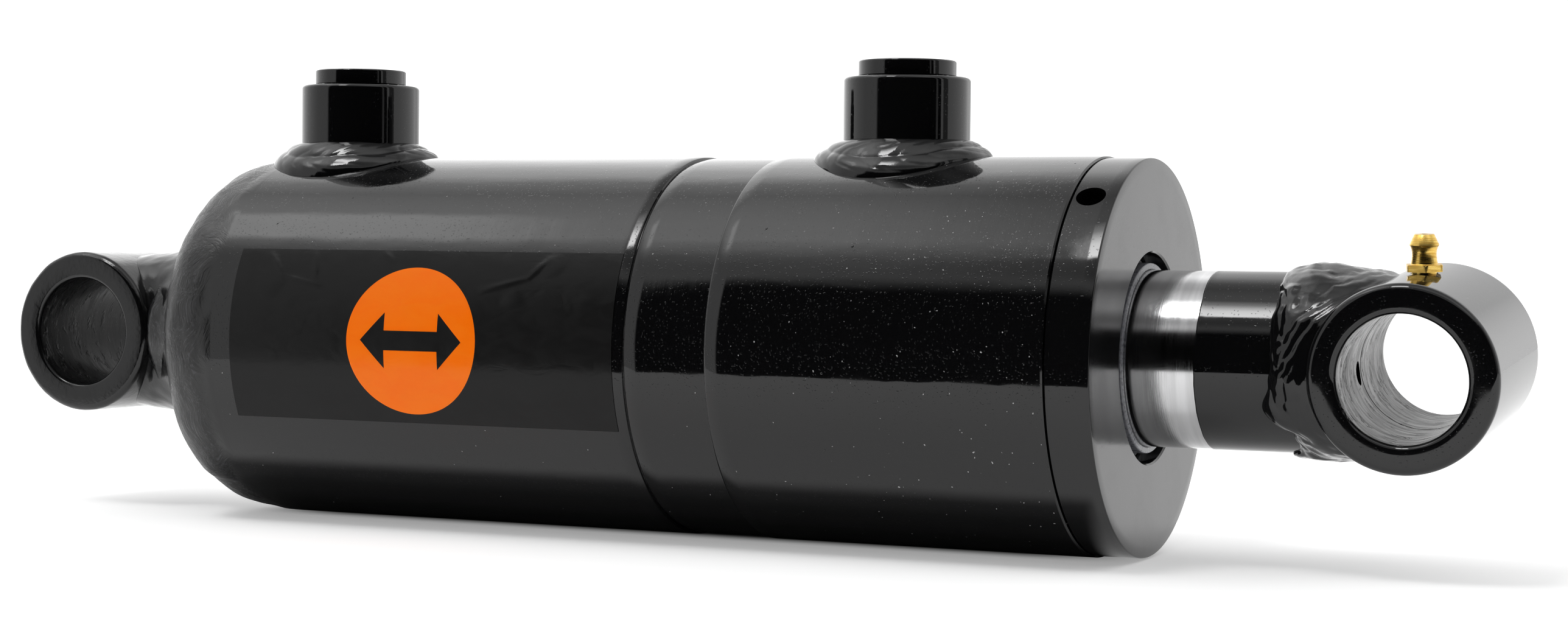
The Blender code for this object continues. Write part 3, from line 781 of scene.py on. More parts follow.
def rippleTree():
    # lays frozen ripples and soft lumps along a weld bead, from its travel and across attributes
    tree, put = newTree("weldRipples", ("Pitch", "Height", "Lump Size", "Lump Height", "Skew", "Seed"))
    kind = {"data_type": "FLOAT"}
    travel = feed(tree, "GeometryNodeInputNamedAttribute", {"Name": "travel"}, kind)
    across = feed(tree, "GeometryNodeInputNamedAttribute", {"Name": "across"}, kind)
    where = feed(tree, "GeometryNodeInputPosition")
    normal = feed(tree, "GeometryNodeInputNormal")
    size = calc("DIVIDE", 1.0, put["Lump Size"])
    noiseIn = {"Vector": where, "W": put["Seed"], "Scale": size, "Detail": 2.0}
    wander = feed(tree, "ShaderNodeTexNoise", noiseIn, {"noise_dimensions": "4D"})
    arch = calc("POWER", minus(times(across, 2.0), 1.0), 2.0)
    phase = plus(calc("DIVIDE", travel, put["Pitch"]), times(arch, put["Skew"]))
    phase = plus(phase, times(wander, 2.2))
    wave = calc("ABSOLUTE", calc("SINE", times(phase, math.pi)))
    wave = minus(calc("POWER", wave, 0.7), 0.5)
    edge = calc("MAXIMUM", calc("SINE", times(across, math.pi)), 0.0)
    lift = times(wave, put["Height"])
    lump = times(minus(wander, 0.5), put["Lump Height"])
    total = times(plus(lift, lump), calc("POWER", edge, 0.6))
    offset = feed(tree, "ShaderNodeVectorMath", {"Vector": normal, "Scale": total}, {"operation": "SCALE"})
    moved = feed(tree, "GeometryNodeSetPosition", {"Geometry": put["Geometry"], "Offset": offset})
    return endTree(tree, moved, put["Material"])


def runNodes(obj, tree, values):
    # sets the tree's named inputs by their identifiers, then makes the result a plain mesh
    names = {item.name: item.identifier for item in tree.interface.items_tree if item.in_out == "INPUT"}
    nodes = obj.modifiers.new(tree.name, "NODES")
    nodes.node_group = tree
    for inputName, value in values.items():
        nodes[names[inputName]] = value
    settle(obj)
    return obj


weldRipples = rippleTree()


def makeBead(end):
    rows = beadRows(end)
    marks = beadMarks(rows, bead["across"], 22 * mm)
    obj = skin(f"portWeld_{end}", rows, ringed=True, marks=marks, sharp=50)
    runNodes(obj, weldRipples, {
        "Pitch": bead["ripple"], "Height": bead["rippleHeight"], "Lump Size": 12 * mm,
        "Lump Height": 2 * bead["lump"], "Skew": -1.6, "Seed": 2.0, "Material": look["weld"],
    })
    dress(obj, look["weld"], "barrel", "black_paint", f"port_weld_{end}")


thread = {
    "pitch": 1.5875 * mm,  # 16 to the inch
    "depth": 0.55 * mm,
    "perTurn": 48,
}


def threadTree():
    # one V ridge wound up an axis, from its radius, pitch and number of turns
    tree, put = newTree("screwThread", ("Radius", "Height", "Turns", "Ridge", "X", "Z"), takesGeometry=False)
    path = feed(tree, "GeometryNodeCurveSpiral", {
        "Resolution": thread["perTurn"], "Rotations": put["Turns"], "Height": put["Height"],
        "Start Radius": put["Radius"], "End Radius": put["Radius"],
    })
    ridge = feed(tree, "GeometryNodeCurvePrimitiveCircle", {"Resolution": 4, "Radius": put["Ridge"]})
    swept = {"Curve": path, "Profile Curve": ridge, "Fill Caps": True}
    wound = feed(tree, "GeometryNodeCurveToMesh", swept)
    at = feed(tree, "ShaderNodeCombineXYZ", {"X": put["X"], "Z": put["Z"]})
    moved = feed(tree, "GeometryNodeTransform", {"Geometry": wound, "Translation": at})
    return endTree(tree, moved, put["Material"])


screwThread = threadTree()


def makeThread(name, x, low, high, radius):
    obj = addPiece(name, bpy.data.meshes.new(name))
    height = high - low
    runNodes(obj, screwThread, {
        "Radius": radius, "Height": height, "Turns": height / thread["pitch"], "Ridge": thread["depth"],
        "X": x, "Z": low, "Material": look["steel"],
    })
    shape = bmesh.new()
    shape.from_mesh(obj.data)
    bmesh.ops.recalc_face_normals(shape, faces=shape.faces)
    shape.to_mesh(obj.data)
    shape.free()
    return obj


plug = {
    "under": 0.3 * mm,
    "top": 4.4 * mm,
    "head": 12.85 * mm,
    "edge": 0.55 * mm,
    "neck": 7.6 * mm,
    "shank": 8.75 * mm,
    "ringMiddle": 8.7 * mm,
    "ringSection": 0.85 * mm,
    "steps": 120,
}


def makePlug(end):
    x = portX[end]
    p = plug
    body = f"{end}_plug"
    outline = [(0.0, p["top"]), (p["head"] * 0.5, p["top"])]
    outline += arc((p["head"] - p["edge"], p["top"] - p["edge"]), p["edge"], 90, 0, 7)
    outline += [(p["head"], p["under"] + 0.2 * mm), (p["head"] - 0.2 * mm, p["under"])]
    outline += [(p["neck"], p["under"]), (p["neck"], -2.8 * mm), (p["shank"], -3.4 * mm)]
    outline += [(p["shank"], -11.8 * mm), (p["shank"] - 1.0 * mm, -12.8 * mm), (0.0, -12.8 * mm)]
    outline = [(r, h + bossTop) for r, h in outline]
    head = turned(f"portPlug_{end}", outline, "z", (x, 0, 0), p["steps"], ringed=False)
    dress(head, look["turned"], body, "black_paint", f"port_plug_{end}")
    section = arc((p["ringMiddle"], bossTop - 1.5 * mm), p["ringSection"], 0, 345, 24)
    ring = turned(f"plugSeal_{end}", section, "z", (x, 0, 0), 96)
    dress(ring, look["rubber"], body, "rubber", f"plug_o_ring_{end}")
    outer = makeThread(f"plugThread_{end}", x, bossTop - 11.6 * mm, bossTop - 3.9 * mm, p["shank"] - 0.1 * mm)
    dress(outer, look["steel"], body, "black_paint")
    low = bossTop - boss["depth"] + 1 * mm
    inner = makeThread(f"portThread_{end}", x, low, bossTop - 1.6 * mm, boss["bore"] + 0.28 * mm)
    dress(inner, look["steel"], "barrel", "black_paint")


makeBarrel()
makeShoulder()
makeEyeNeck()
makeBaseEye()
for portEnd in portX:
    makeBoss(portEnd)
    makeBead(portEnd)
    makePlug(portEnd)
print("barrel, base eye and ports made")


# the gland, its wiper and the label

gland = {
    "collar": 50.35 * mm,
    "edge": 0.38 * mm,
    "gap": 0.22 * mm,  # the open joint between the tube's end and the collar
    "thread": 45.5 * mm,
    "threadStart": 274.3 * mm,
    "fit": 44.15 * mm,
    "fitStart": 257 * mm,
    "step": 39.5 * mm,
    "seal": (261 * mm, 267 * mm, 41 * mm),
    "seat": (308.3 * mm, 26.6 * mm),
    "bore": 22.8 * mm,
    "grooves": ((245, 258, 25), (270, 283, 25), (295, 304.5, 28)),  # (start, end, radius) in mm
    "nose": 236 * mm,
    "holes": (37, 217),  # spanner holes, in degrees from the top towards the near side
    "holeRadius": 3.7 * mm,
    "steps": 288,
}


def makeGland():
    g = gland
    start = collarStartX + g["gap"]
    out = g["collar"]
    seatX, seatR = g["seat"]
    outline = [(seatR, glandFaceX - 0.4 * mm), (seatR + 0.4 * mm, glandFaceX), (out - g["edge"], glandFaceX)]
    outline += arc((out - g["edge"], glandFaceX - g["edge"]), g["edge"], 90, 0, 5)[1:]
    outline += [(out, start + g["edge"]), (out - g["edge"], start), (g["thread"], start)]
    outline += [(g["thread"], g["threadStart"]), (g["fit"], g["threadStart"] - 1.3 * mm)]
    low, high, depth = g["seal"]
    outline += [(g["fit"], high), (depth, high), (depth, low), (g["fit"], low), (g["fit"], g["fitStart"])]
    outline += [(g["step"], g["fitStart"] - 1 * mm), (g["step"], g["nose"] + 1 * mm)]
    outline += [(g["step"] - 1 * mm, g["nose"])]
    outline += [(g["bore"], g["nose"])]
    bore = g["bore"] / mm
    for low, high, depth in g["grooves"]:
        outline += inMm([(bore, low), (depth, low), (depth, high), (bore, high)])
    outline += [(g["bore"], seatX), (seatR, seatX)]
    head = turned("glandHead", densify(outline, 3 * mm), steps=g["steps"])
    x = (collarStartX + glandFaceX) / 2 - 0.8 * mm
    for angle in g["holes"]:
        where = Matrix.Rotation(math.radians(angle), 4, "X")
        drill(head, g["holeRadius"], 42 * mm, 56 * mm, Matrix.Translation((x, 0, 0)) @ where)
    dress(head, look["face"], "barrel", "turned_black", "gland")
    head.data.materials.append(look["turned"])  # the collar's rim shines more than its face
    for face in head.data.polygons:
        if face.center.yz.length > 44 * mm and abs(face.normal.x) < 0.9:
            face.material_index = 1


wiper = {
    "start": 308.6 * mm,
    "inner": 22.5 * mm,
    "outer": 26.3 * mm,
    "lip": 24.0 * mm,
    "gap": 0.04 * mm,  # between the lip's tip and the bar
    "shelf": 310.2 * mm,
    "lipTop": 315.7 * mm,
    "steps": 192,
}


def makeWiper():
    w = wiper
    tip = rodRadius + w["gap"]
    outline = [(w["inner"] + 0.6 * mm, w["start"]), (w["outer"], w["start"])]
    outline += [(w["outer"], w["shelf"] - 0.4 * mm), (w["outer"] - 0.4 * mm, w["shelf"])]
    outline += [(w["lip"] + 0.5 * mm, w["shelf"])]
    outline += [(w["lip"] + 0.15 * mm, w["shelf"] + 0.3 * mm), (w["lip"], w["shelf"] + 1 * mm)]
    outline += arc((w["lip"] - 0.45 * mm, w["lipTop"] - 0.45 * mm), 0.45 * mm, 0, 90, 7)
    outline += [(tip + 0.3 * mm, w["lipTop"]), (tip, w["lipTop"] - 0.3 * mm), (tip + 0.3 * mm, 312 * mm)]
    obj = turned("rodWiperLip", outline, steps=w["steps"])
    dress(obj, look["urethane"], "barrel", "urethane", "rod_wiper")


label = {
    "x": (71.9 * mm, 189.3 * mm),
    "angles": (60.8, 114.0),  # degrees from the top towards the near side
    "lift": 0.07 * mm,
    "thick": 0.13 * mm,
    "cells": (180, 110),
    # each crease is a line from (x, angle) to (x, angle), and its height, in mm and degrees
    "creases": (
        ((82, 62.5), (87, 69.5), 0.22), ((87, 69.5), (99, 72.5), 0.20), ((96, 61.5), (97.5, 70), 0.14),
        ((150, 73), (163, 69), 0.18), ((163, 69), (168, 63), 0.20), ((118, 61.5), (121, 64.5), 0.12),
    ),
    "disc": 19.8 * mm,
    "discX": 129.4 * mm,
    "discAngle": 88.7,
    "print": 0.03 * mm,
    # the arrow's tip, its neck, and the half heights of its bar and head
    "arrow": (15.5 * mm, 8.2 * mm, 2.6 * mm, 7.4 * mm),
}


def bubble(x, angle):
    # creases and trapped air that lift the film a little; a degree counts as a millimetre here
    rise = 0.0
    here = Vector((x / mm, angle))
    for start, end, height in label["creases"]:
        line = Vector(end) - Vector(start)
        near = min(max((here - Vector(start)).dot(line) / line.length_squared, 0.0), 1.0)
        away = (here - Vector(start) - line * near).length
        ridge = height * mm * math.exp(-(away / 0.7) ** 2)
        rise += ridge * math.sin(math.pi * min(max(near, 0.04), 0.96)) ** 0.5
    at = (x, angle * 0.9 * mm, 0)
    air = max(0.0, lumps(at, 11 * mm, 9.0) - 0.2) * 0.3 * mm * smooth((84 - angle) / 14)
    return rise + air


def onTube(x, angle, height):
    a = math.radians(angle)
    r = barrelRadius + height + bubble(x, angle)
    return Vector((x, -r * math.sin(a), r * math.cos(a)))


def sheet(name, cells, lift, thick):
    # a closed film over (x, angle) cells given as a grid
    rows = [[onTube(x, angle, lift + thick) for x, angle in line] for line in cells]
    under = [[onTube(x, angle, lift) for x, angle in line] for line in cells]
    verts = [p for row in rows + under for p in row]
    wide, high = len(cells[0]), len(cells)
    half = wide * high
    faces = []
    for i in range(high - 1):
        for j in range(wide - 1):
            a = i * wide + j
            faces.append((a, a + 1, a + wide + 1, a + wide))
            faces.append((half + a, half + a + wide, half + a + wide + 1, half + a + 1))
    rim = list(range(wide)) + [i * wide + wide - 1 for i in range(1, high)]
    rim += list(range(half - 2, half - wide - 1, -1)) + [i * wide for i in range(high - 2, 0, -1)]
    for a, b in zip(rim, rim[1:] + rim[:1]):
        faces.append((a, half + a, half + b, b))
    return addPiece(name, meshOf(name, verts, faces))


def printed(name, outline, level):
    # ink on the film: a flat outline of (along, down) metres round the disc's centre, wrapped on the tube
    shape = bmesh.new()
    shape.faces.new([shape.verts.new((x, y, 0)) for x, y in outline])
    for axis in ((1, 0, 0), (0, 1, 0)):
        for i in range(-13, 14):
            at = Vector(axis) * i * 1.5 * mm
            geometry = shape.verts[:] + shape.edges[:] + shape.faces[:]
            bmesh.ops.bisect_plane(shape, geom=geometry, plane_co=at, plane_no=axis, dist=0.001 * mm)
    swept = bmesh.ops.extrude_face_region(shape, geom=shape.faces[:])["geom"]
    upper = {item for item in swept if isinstance(item, bmesh.types.BMVert)}
    base = label["lift"] + label["thick"] + 0.01 * mm
    perDegree = math.radians(1) * barrelRadius
    for v in shape.verts:
        x, angle = label["discX"] + v.co.x, label["discAngle"] + v.co.y / perDegree
        v.co = onTube(x, angle, base + level + (label["print"] if v in upper else 0.0))
    mesh = bpy.data.meshes.new(name)
    shape.to_mesh(mesh)
    shape.free()
    return addPiece(name, mesh)


def makeLabel():
    (x0, x1), (a0, a1) = label["x"], label["angles"]
    wide, high = label["cells"]
    along = [x0 + (x1 - x0) * j / wide for j in range(wide + 1)]
    cells = [[(x, a0 + (a1 - a0) * i / high) for x in along] for i in range(high + 1)]
    film = sheet("labelFilm", cells, label["lift"], label["thick"])
    dress(film, look["film"], "barrel", "label_film", "label")
    disc = printed("labelDisc", arc((0, 0), label["disc"], 0, 357.5, 144), 0.0)
    dress(disc, look["orange"], "barrel", "orange_print")
    tip, neck, bar, head = label["arrow"]
    arrow = [(tip, 0), (neck, head), (neck, bar), (-neck, bar), (-neck, head)]
    arrow += [(-x, -y) for x, y in arrow]
    mark = printed("labelArrow", arrow, label["print"] + 0.01 * mm)
    dress(mark, look["film"], "barrel", "label_film")


# the rod and its pin eye

rod = {
    "tail": 68.3 * mm,
    "spigot": 15.9 * mm,
    "shoulder": 129.3 * mm,
    "chamfer": 1.2 * mm,
    "steps": 192,
    "paintStart": 333.4 * mm,
    "paintEnd": 357 * mm,
    "paint": 0.07 * mm,
    "paintWander": 0.35 * mm,
}
rodFlatX = rodEyeX - rodEyeRadius - 0.3 * mm


def makeRod():
    r = rod
    outline = [(0.0, r["tail"]), (r["spigot"] - r["chamfer"], r["tail"])]
    outline += [(r["spigot"], r["tail"] + r["chamfer"]), (r["spigot"], r["shoulder"])]
    outline += [(rodRadius - r["chamfer"], r["shoulder"])]
    outline += [(rodRadius, r["shoulder"] + r["chamfer"]), (rodRadius, rodFlatX), (0.0, rodFlatX)]
    bar = turned("chromedRod", densify(outline, 6 * mm), steps=r["steps"], turn=turnRod, ringed=False)
    dress(bar, look["chrome"], "rod", "chrome_rod", "piston_rod")

    def mask(radius, x, angle):
        # the paint ends at a masked line that wanders a little, with a faint raised edge
        ring = (math.cos(angle) * 22 * mm, math.sin(angle) * 22 * mm, 0)
        move = r["paintWander"] * (lumps(ring, 14 * mm, 1.5) + 0.35 * lumps(ring, 3 * mm, 2.5))
        return radius, x + move * smooth((r["paintStart"] + 3 * mm - x) / (3 * mm))

    x0, x1, t = r["paintStart"], r["paintEnd"], r["paint"]
    lip = ((0.3, 0.0), (1.5, 0.15), (1.5, 0.4), (1.0, 0.8), (1.0, 3.0))  # (coats thick, mm along)
    outline = [(rodRadius - 0.3 * mm, x0)]
    outline += [(rodRadius + coats * t, x0 + along * mm) for coats, along in lip]
    outline += [(rodRadius + t, x1), (rodRadius - 0.3 * mm, x1)]
    coat = turned("rodPaint", densify(outline, 2 * mm), steps=r["steps"], turn=turnRod, shift=mask)
    dress(coat, look["turned"], "rod", "black_paint")


rodBead = {
    "start": 352.1,  # where it starts on the rod, in mm
    "body": 24.4,  # its radius, in mm
    "around": 300,
    "across": 44,
    "ripple": 9 * mm,
    "rippleHeight": 0.36 * mm,
    "lump": 1.5 * mm,
}


def rodToe(phi):
    # where the weld starts on the rod, by angle in degrees from the rod's top towards the near side
    bulge = math.exp(-((phi - 112) / 9) ** 2) * 2.2
    back = 4.2 * smooth((phi - 117) / 10) * smooth((178 - phi) / 30)
    return (rodBead["start"] - bulge + back) * mm


def makeRodWeld():
    n = rodBead
    rows = [[] for _ in range(n["across"] + 1)]
    inner = [[] for _ in range(6)]
    barR = rodRadius + 0.1 * mm
    wall = rodEyeRadius - 0.1 * mm
    deep = rodEyeRadius - 3.6 * mm
    for j in range(n["around"]):
        phi = tau * j / n["around"]
        up, side = math.cos(phi), -math.sin(phi)
        ring = (math.cos(phi) * 22 * mm, math.sin(phi) * 22 * mm, 5 * mm)
        jag = 1.0 * mm * lumps(ring, 8 * mm, 2.0) + 0.6 * mm * lumps(ring, 3.5 * mm, 6.0)
        start = Vector((rodToe(math.degrees(phi) % 360) + jag, barR * side, barR * up))
        angle = math.radians(74) * up
        toeY = (rodEyeHalf - 1.0 * mm) * side
        toe = Vector((rodEyeX - wall * math.cos(angle), toeY, wall * math.sin(angle)))
        fat = n["body"] + 0.9 * lumps(ring, 9 * mm, 9.0) + 0.5 * max(0.0, up)
        first = Vector((start.x + 0.5 * mm, (fat + 0.4) * mm * side, (fat + 0.4) * mm * up))
        last = Vector((toe.x - 7.5 * mm * (1 - 0.35 * abs(up)), toe.y, toe.z + 2.2 * mm * up))
        for i in range(n["across"] + 1):
            rows[i].append(bezier(start, first, last, toe, i / n["across"]))
        for k, share in enumerate((1.0, 0.66, 0.33, 0.0)):
            a = angle * share
            inner[k].append(Vector((rodEyeX - deep * math.cos(a), toeY * 0.9 * share, deep * math.sin(a))))
        inner[4].append(Vector((rodEyeX - rodEyeRadius - 2 * mm, 0, 0)))
        inner[5].append(Vector((357 * mm, 18 * mm * side, 18 * mm * up)))
    rows = [[turnRod @ point for point in row] for row in rows + inner]
    obj = skin("rodWeld", rows, ringed=True, marks=beadMarks(rows, n["across"], 23 * mm), sharp=50)
    runNodes(obj, weldRipples, {
        "Pitch": n["ripple"], "Height": n["rippleHeight"], "Lump Size": 9 * mm,
        "Lump Height": 2 * n["lump"], "Skew": 2.4, "Seed": 5.0, "Material": look["weld"],
    })
    dress(obj, look["weld"], "rod", "black_paint", "rod_weld")


rodEye = {
    "bore": 15.5 * mm,
    "rim": 1.9 * mm,
    "mouth": 1.5 * mm,
    "groove": 0.4 * mm,
    "steps": 216,
}
fitting = {
    "seat": rodEyeRadius + 0.05 * mm,
    "flats": 8.3 * mm,
    "hexTurn": 14,  # degrees
    "height": 9.2 * mm,
    # (radius, height) in mm up the waist to the widest part of the head
    "waist": ((3.2, 2.15), (3.02, 3.2), (2.92, 4.4), (3.0, 5.3), (3.25, 6.1), (3.48, 6.5)),
    "steps": 120,
}


def makeRodEye():
    e = rodEye
    outline = eyeOutline(rodEyeRadius, rodEyeHalf, e["bore"], e["rim"], e["mouth"], e["groove"])

    def tool(radius, y, angle):
        # the bore's drill marks; the sound paint outside is left true
        if radius > e["bore"] + 0.5 * mm:
            return radius, y
        at = (0.2 * radius * math.cos(angle), y, 0.2 * radius * math.sin(angle))
        return radius + 0.07 * mm * lumps(at, 2.2 * mm, 3.0), y

    obj = turned("rodPinEye", outline, "y", (rodEyeX, 0, 0), e["steps"], turnRod, shift=tool)
    centre = turnRod @ Matrix.Translation((rodEyeX, 0, 0))
    drill(obj, 3.3 * mm, 10 * mm, 30 * mm, centre, 36)
    pit = centre @ Matrix.Translation((0, -3 * mm, 0)) @ Matrix.Rotation(math.radians(-97), 4, "Y")
    drill(obj, 2.0 * mm, e["bore"] - 4 * mm, e["bore"] + 1.6 * mm, pit @ Matrix.Diagonal((1.5, 1, 1, 1)), 32)
    dress(obj, look["turned"], "rod", "black_paint", "rod_cross_tube")
    obj.data.materials.append(look["toolMarked"])
    for face in obj.data.polygons:
        local = centre.inverted() @ face.center
        if math.hypot(local.x, local.z) < e["bore"] + 0.4 * mm:
            face.material_index = 1


def makeFitting():
    f = fitting
    top = f["height"]
    flat = f["flats"] / 2
    corner = flat / math.cos(math.pi / 6)
    outline = inMm([(2.6, -5.2), (3.0, -4.8), (3.0, 0.2)])
    outline += [(corner, 0.25 * mm), (corner, 1.7 * mm), (corner - 0.25 * mm, 1.95 * mm)]
    outline += [(3.35 * mm, 2.0 * mm)] + spline(inMm(f["waist"]), 4) + inMm([(3.54, 6.62), (3.5, 6.75)])
    outline += [(2.42 * mm, top - 0.12 * mm), (2.3 * mm, top), (0.85 * mm, top), (0.75 * mm, top - 0.3 * mm)]
    outline += [(1.5 * mm, top - 1.5 * mm), (1.5 * mm, -3.0 * mm), (0.9 * mm, -5.2 * mm)]
    outline = [(r, h + f["seat"]) for r, h in outline]

    def shaped(radius, height, angle):
        # the flange is a hexagon and the rest is round
        height -= f["seat"]
        if radius > 3.6 * mm and height < 1.98 * mm:
            turn = (angle + math.radians(f["hexTurn"])) % (math.pi / 3) - math.pi / 6
            radius = min(radius, flat / math.cos(turn))
        return radius, height + f["seat"]

    body = turned("greaseFitting", outline, "z", (rodEyeX, 0, 0), f["steps"], turnRod, shift=shaped)
    dress(body, look["brass"], "rod", "brass", "grease_fitting")
    low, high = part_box("grease_ball")
    middleOfBall = turnRod.inverted() @ ((low + high) / 2)
    points = arc((0, 0), (high.x - low.x) / 2, -90, 90, 17)
    ball = turned("greaseBall", points, "z", middleOfBall, 32, turnRod, ringed=False)
    dress(ball, look["steel"], "grease_ball", "bare_steel", "grease_ball")


makeGland()
makeWiper()
makeLabel()
makeRod()
makeRodWeld()
makeRodEye()
makeFitting()
print("gland, label, rod and rod eye made")


# weld spatter under the paint

spatter = {
    "smallest": 0.10 * mm,
    "largest": 0.42 * mm,
    "sunk": 0.06 * mm,
    # (name, body, surface radius, x range in mm, angles from the top, beads, seed)
    "patches": (
        ("spatterTube", "barrel", barrelRadius, (218, 303), (-40, 140), 26, 3),
        ("spatterBase", "barrel", barrelRadius, (68, 100), (-45, 55), 13, 5),
        ("spatterRod", "rod", rodRadius + rod["paint"], (337, 351), (0, 360), 18, 8),
    ),
}


def spatterTree():
    # small flattened beads scattered over a surface, from a density, a seed and a range of sizes
    tree, put = newTree("weldSpatter", ("Density", "Smallest", "Largest"), whole=("Seed",))
    spread = {"Mesh": put["Geometry"], "Density": put["Density"], "Seed": put["Seed"]}
    points = addNode(tree, "GeometryNodeDistributePointsOnFaces", None, spread).outputs
    ball = feed(tree, "GeometryNodeMeshIcoSphere", {"Radius": 1.0, "Subdivisions": 3})
    ball = feed(tree, "GeometryNodeSetShadeSmooth", {"Geometry": ball})
    random = addNode(tree, "FunctionNodeRandomValue", {"data_type": "FLOAT"}, {"Seed": put["Seed"]})
    skew = calc("POWER", random.outputs[1], 2.5)
    size = times(minus(put["Largest"], put["Smallest"]), skew)
    size = plus(size, put["Smallest"])
    scale = feed(tree, "ShaderNodeCombineXYZ", {"X": size, "Y": size, "Z": times(size, 0.6)})
    laid = {"Points": points["Points"], "Instance": ball, "Rotation": points["Rotation"], "Scale": scale}
    return endTree(tree, feed(tree, "GeometryNodeInstanceOnPoints", laid), put["Material"])


weldSpatter = spatterTree()


def patch(radius, x, angles, matrix):
    # a strip of the tube or rod that the beads are scattered over
    cells = 24
    verts = []
    faces = []
    for i in range(cells + 1):
        a = math.radians(angles[0] + (angles[1] - angles[0]) * i / cells)
        for j in range(cells + 1):
            along = (x[0] + (x[1] - x[0]) * j / cells) * mm
            verts.append((along, -radius * math.sin(a), radius * math.cos(a)))
    for i in range(cells):
        for j in range(cells):
            a = i * (cells + 1) + j
            faces.append((a, a + cells + 1, a + cells + 2, a + 1))
    mesh = meshOf("patch", verts, faces)
    mesh.transform(matrix)
    return link("patch", mesh)


for name, body, radius, x, angles, count, seed in spatter["patches"]:
    beads = patch(radius - spatter["sunk"], x, angles, turnRod if body == "rod" else Matrix.Identity(4))
    runNodes(beads, weldSpatter, {
        "Density": count / sum(face.area for face in beads.data.polygons), "Seed": seed,
        "Smallest": spatter["smallest"], "Largest": spatter["largest"], "Material": look["weld"],
    })
    beads.name = name
    dress(beads, look["weld"], body, "black_paint")
print("spatter made")


# carried-over pieces inside the cylinder

inner = {
    "rubber": ("gland_o_ring", "piston_o_ring"),
    "nylon": ("gland_backup_ring", "rod_guide_ring_inner", "rod_guide_ring_outer",
              "piston_wear_ring_base", "piston_wear_ring_head"),
    "urethane": ("rod_seal", "piston_seal"),
    "steel": ("piston", "piston_nut", "grease_spring"),
}
for finish, nodes in inner.items():
    for node in nodes:
        frame["nodes"][node].data.materials.clear()
        frame["nodes"][node].data.materials.append(look[finish])


# the floor, the light and the camera

studio = {
    "floor": "#F2F2F2",
    # the grey of the contact shadow painted on the floor
    "paintedContactShadow": "#A4A4A4",
    "glow": 0.33,  # the floor's own light, like a light table
    "floorSize": 12.0,
    "floorFront": -0.225,  # its front edge, past which the dark gap starts
    "white": 1.35,  # the plain background that the camera sees
    # brightness of the walls by compass, in degrees from +X towards +Y
    "wall": (
        (-180, 1.0), (-150, 0.75), (-124, 0.85), (-2, 0.9), (20, 0.95), (60, 1.2), (77, 1.4), (83, 0.95),
        (104, 0.95), (120, 2.0), (150, 1.4), (180, 1.0),
    ),
    # brightness of the ceiling: 0 degrees in front, 90 overhead, 180 behind
    "ceiling": (
        (0, 0.0), (36, 0.1), (45, 0.6), (57, 1.1), (69, 2.4), (81, 2.1), (93, 1.6), (105, 1.05), (117, 1.2),
        (129, 2.2), (141, 2.5), (153, 2.1), (180, 1.6),
    ),
    "sides": ((-1.0, 1.0), (-0.40, 1.0), (-0.29, 0.5), (0.2, 0.5), (1.0, 0.7)),  # the ceiling's share by X
    # the softbox, by the ceiling's angle
    "key": ((58.5, 0.0), (60.5, 15.0), (68, 12.0), (77, 2.5), (84, 0.0)),
    "fill": 1.1,  # a weaker softbox beside it
}


def makeFloor():
    half = studio["floorSize"] / 2
    front = studio["floorFront"]
    corners = [(-half, front), (half, front), (half, half), (-half, half)]
    floor = link("studioFloor", meshOf("studioFloor", [(x, y, floorZ) for x, y in corners], [(0, 1, 2, 3)]))
    material, shader, at = newMaterial("matt white paper", studio["floor"], 0.9)
    shader.inputs["Specular IOR Level"].default_value = 0.0
    x, y, z = split(at)
    # lit from below like a light table, except in a contact shadow painted into the floor's colour along the
    # tube, where the glow is taken away too;
    # the painted shadow is narrow to the eye and wide in the tube's own reflection
    wide = band(y, -39 * mm, 34 * mm, 4 * mm)
    wide = times(wide, band(x, 36 * mm, 308 * mm, 14 * mm, 3 * mm))
    thin = band(y, -8 * mm, 12 * mm, 8 * mm)
    thin = times(thin, band(x, 62 * mm, 300 * mm, 18 * mm))
    seen = addNode(treeOf(at), "ShaderNodeLightPath").outputs["Is Camera Ray"]
    under = plus(times(thin, seen),
                 times(wide, minus(1.0, seen)))
    tint(shader, under, studio["floor"], studio["paintedContactShadow"])
    shader.inputs["Emission Color"].default_value = (1, 1, 1, 1)
    glow = times(minus(1.0, under), studio["glow"])
    treeOf(at).links.new(glow, shader.inputs["Emission Strength"])
    floor.data.materials.append(material)


def ramp(value, stops):
    # straight lines between (place, brightness) stops, as a sum of clamped steps
    total = None
    for (a, low), (b, high) in zip(stops, stops[1:]):
        start = 0.0 if total is not None else low
        step = between(value, a, b, start, high - low + start, "LINEAR")
        total = step if total is None else plus(total, step)
    return total


def band(value, low, high, softLow, softHigh=None):
    # 1 between low and high, with soft edges
    softHigh = softHigh or softLow
    rise = between(value, low - softLow, low + softLow, 0, 1)
    fall = between(value, high - softHigh, high + softHigh, 1, 0)
    return times(rise, fall)


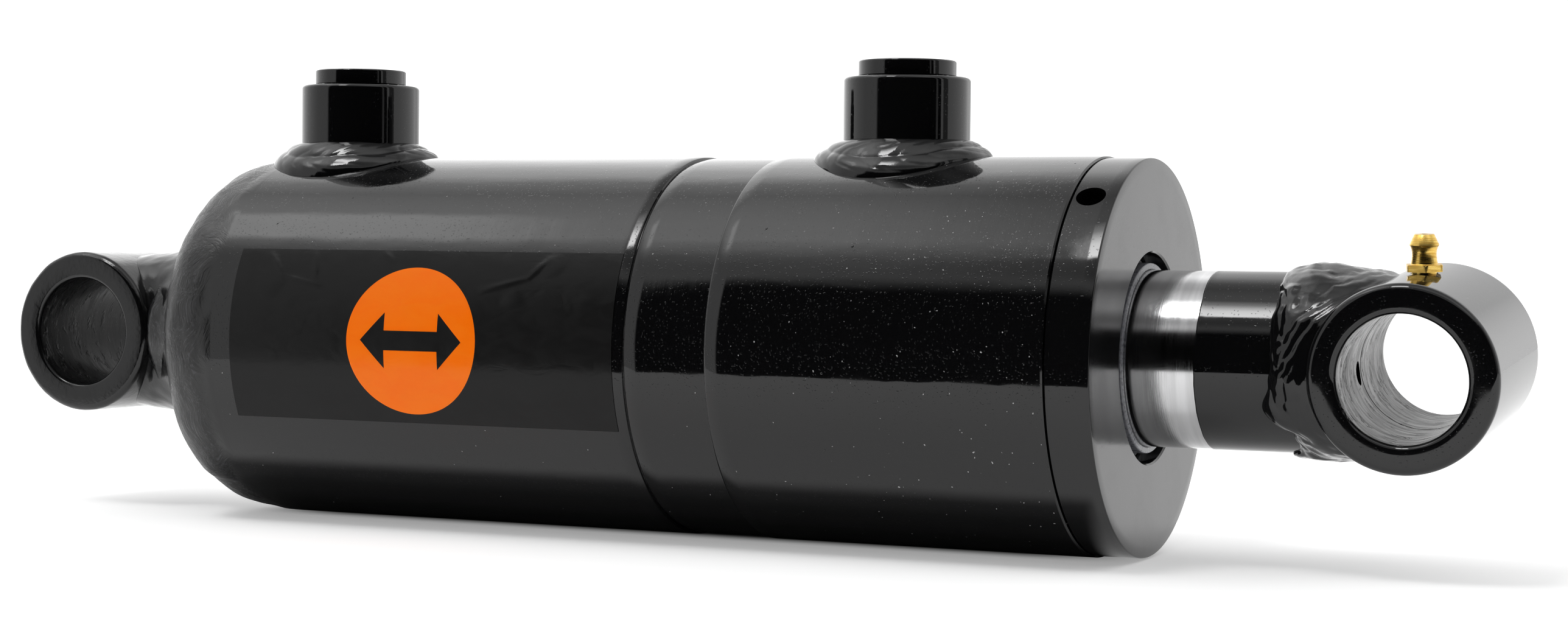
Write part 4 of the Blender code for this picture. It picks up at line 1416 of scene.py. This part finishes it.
def makeLight():
    # a white room with a dark gap in front, a bright ceiling and one small strong softbox
    world = bpy.data.worlds.new("studio")
    bpy.context.scene.world = world
    world.use_nodes = True
    tree = world.node_tree
    tree.nodes.clear()
    way = addNode(tree, "ShaderNodeTexCoord").outputs["Generated"]
    x, y, z = split(way)
    compass = calc("DEGREES", calc("ARCTAN2", y, x))
    height = calc("DEGREES", calc("ARCSINE", z))
    over = calc("DEGREES", calc("ARCTAN2", z, times(y, -1.0)))
    # the dark gap from the left to the right, a dark strip beside it, and a paler slit in it
    gap = times(band(compass, 0.5, 11, 0.6), 0.8)
    gap = plus(band(compass, -123.5, -4, 2.5, 0.6), gap)
    gap = times(gap, band(height, -30, 38, 2, 5))
    gap = times(gap, minus(1.0, times(band(compass, -14, -10.5, 0.5), 0.45)))
    wall = times(ramp(compass, studio["wall"]), minus(1.0, gap))
    ceiling = times(ramp(over, studio["ceiling"]), ramp(x, studio["sides"]))
    lift = between(height, 38, 50, 0, 1)
    room = plus(times(wall, minus(1.0, lift)), times(ceiling, lift))
    key = times(band(x, -0.306, -0.12, 0.012), ramp(over, studio["key"]))
    fill = times(band(x, -0.60, -0.50, 0.03), band(over, 66, 86, 2.5))
    room = plus(plus(room, key), times(fill, studio["fill"]))
    white = (1, 1, 1, 1)
    lit = feed(tree, "ShaderNodeBackground", {"Color": white, "Strength": room})
    plain = feed(tree, "ShaderNodeBackground", {"Color": white, "Strength": studio["white"]})
    seen = addNode(tree, "ShaderNodeLightPath").outputs["Is Camera Ray"]
    both = feed(tree, "ShaderNodeMixShader", {0: seen, 1: lit, 2: plain})
    addNode(tree, "ShaderNodeOutputWorld", None, {"Surface": both})


view = {
    "at": (0.51918, -0.66897, 0.02935),
    "yaw": 24.505,
    "down": 1.72,
    "roll": 0.597,
    "lens": 63.25,
}


def makeCamera():
    yaw, down, roll = (math.radians(view[key]) for key in ("yaw", "down", "roll"))
    ahead = Vector((-math.sin(yaw) * math.cos(down), math.cos(yaw) * math.cos(down), -math.sin(down)))
    level = Vector((math.cos(yaw), math.sin(yaw), 0))
    upright = level.cross(ahead)
    right = math.cos(roll) * level + math.sin(roll) * upright
    up = -math.sin(roll) * level + math.cos(roll) * upright
    data = bpy.data.cameras.new("mainView")
    data.lens = view["lens"]
    data.sensor_width = 36
    data.clip_start = 0.01
    camera = link("mainView", data)
    turn = Matrix((right, up, -ahead)).transposed().to_4x4()
    camera.matrix_world = Matrix.Translation(view["at"]) @ turn
    bpy.context.scene.camera = camera


makeFloor()
makeLight()
makeCamera()
bpy.context.scene.view_settings.view_transform = "Standard"
print("studio ready")
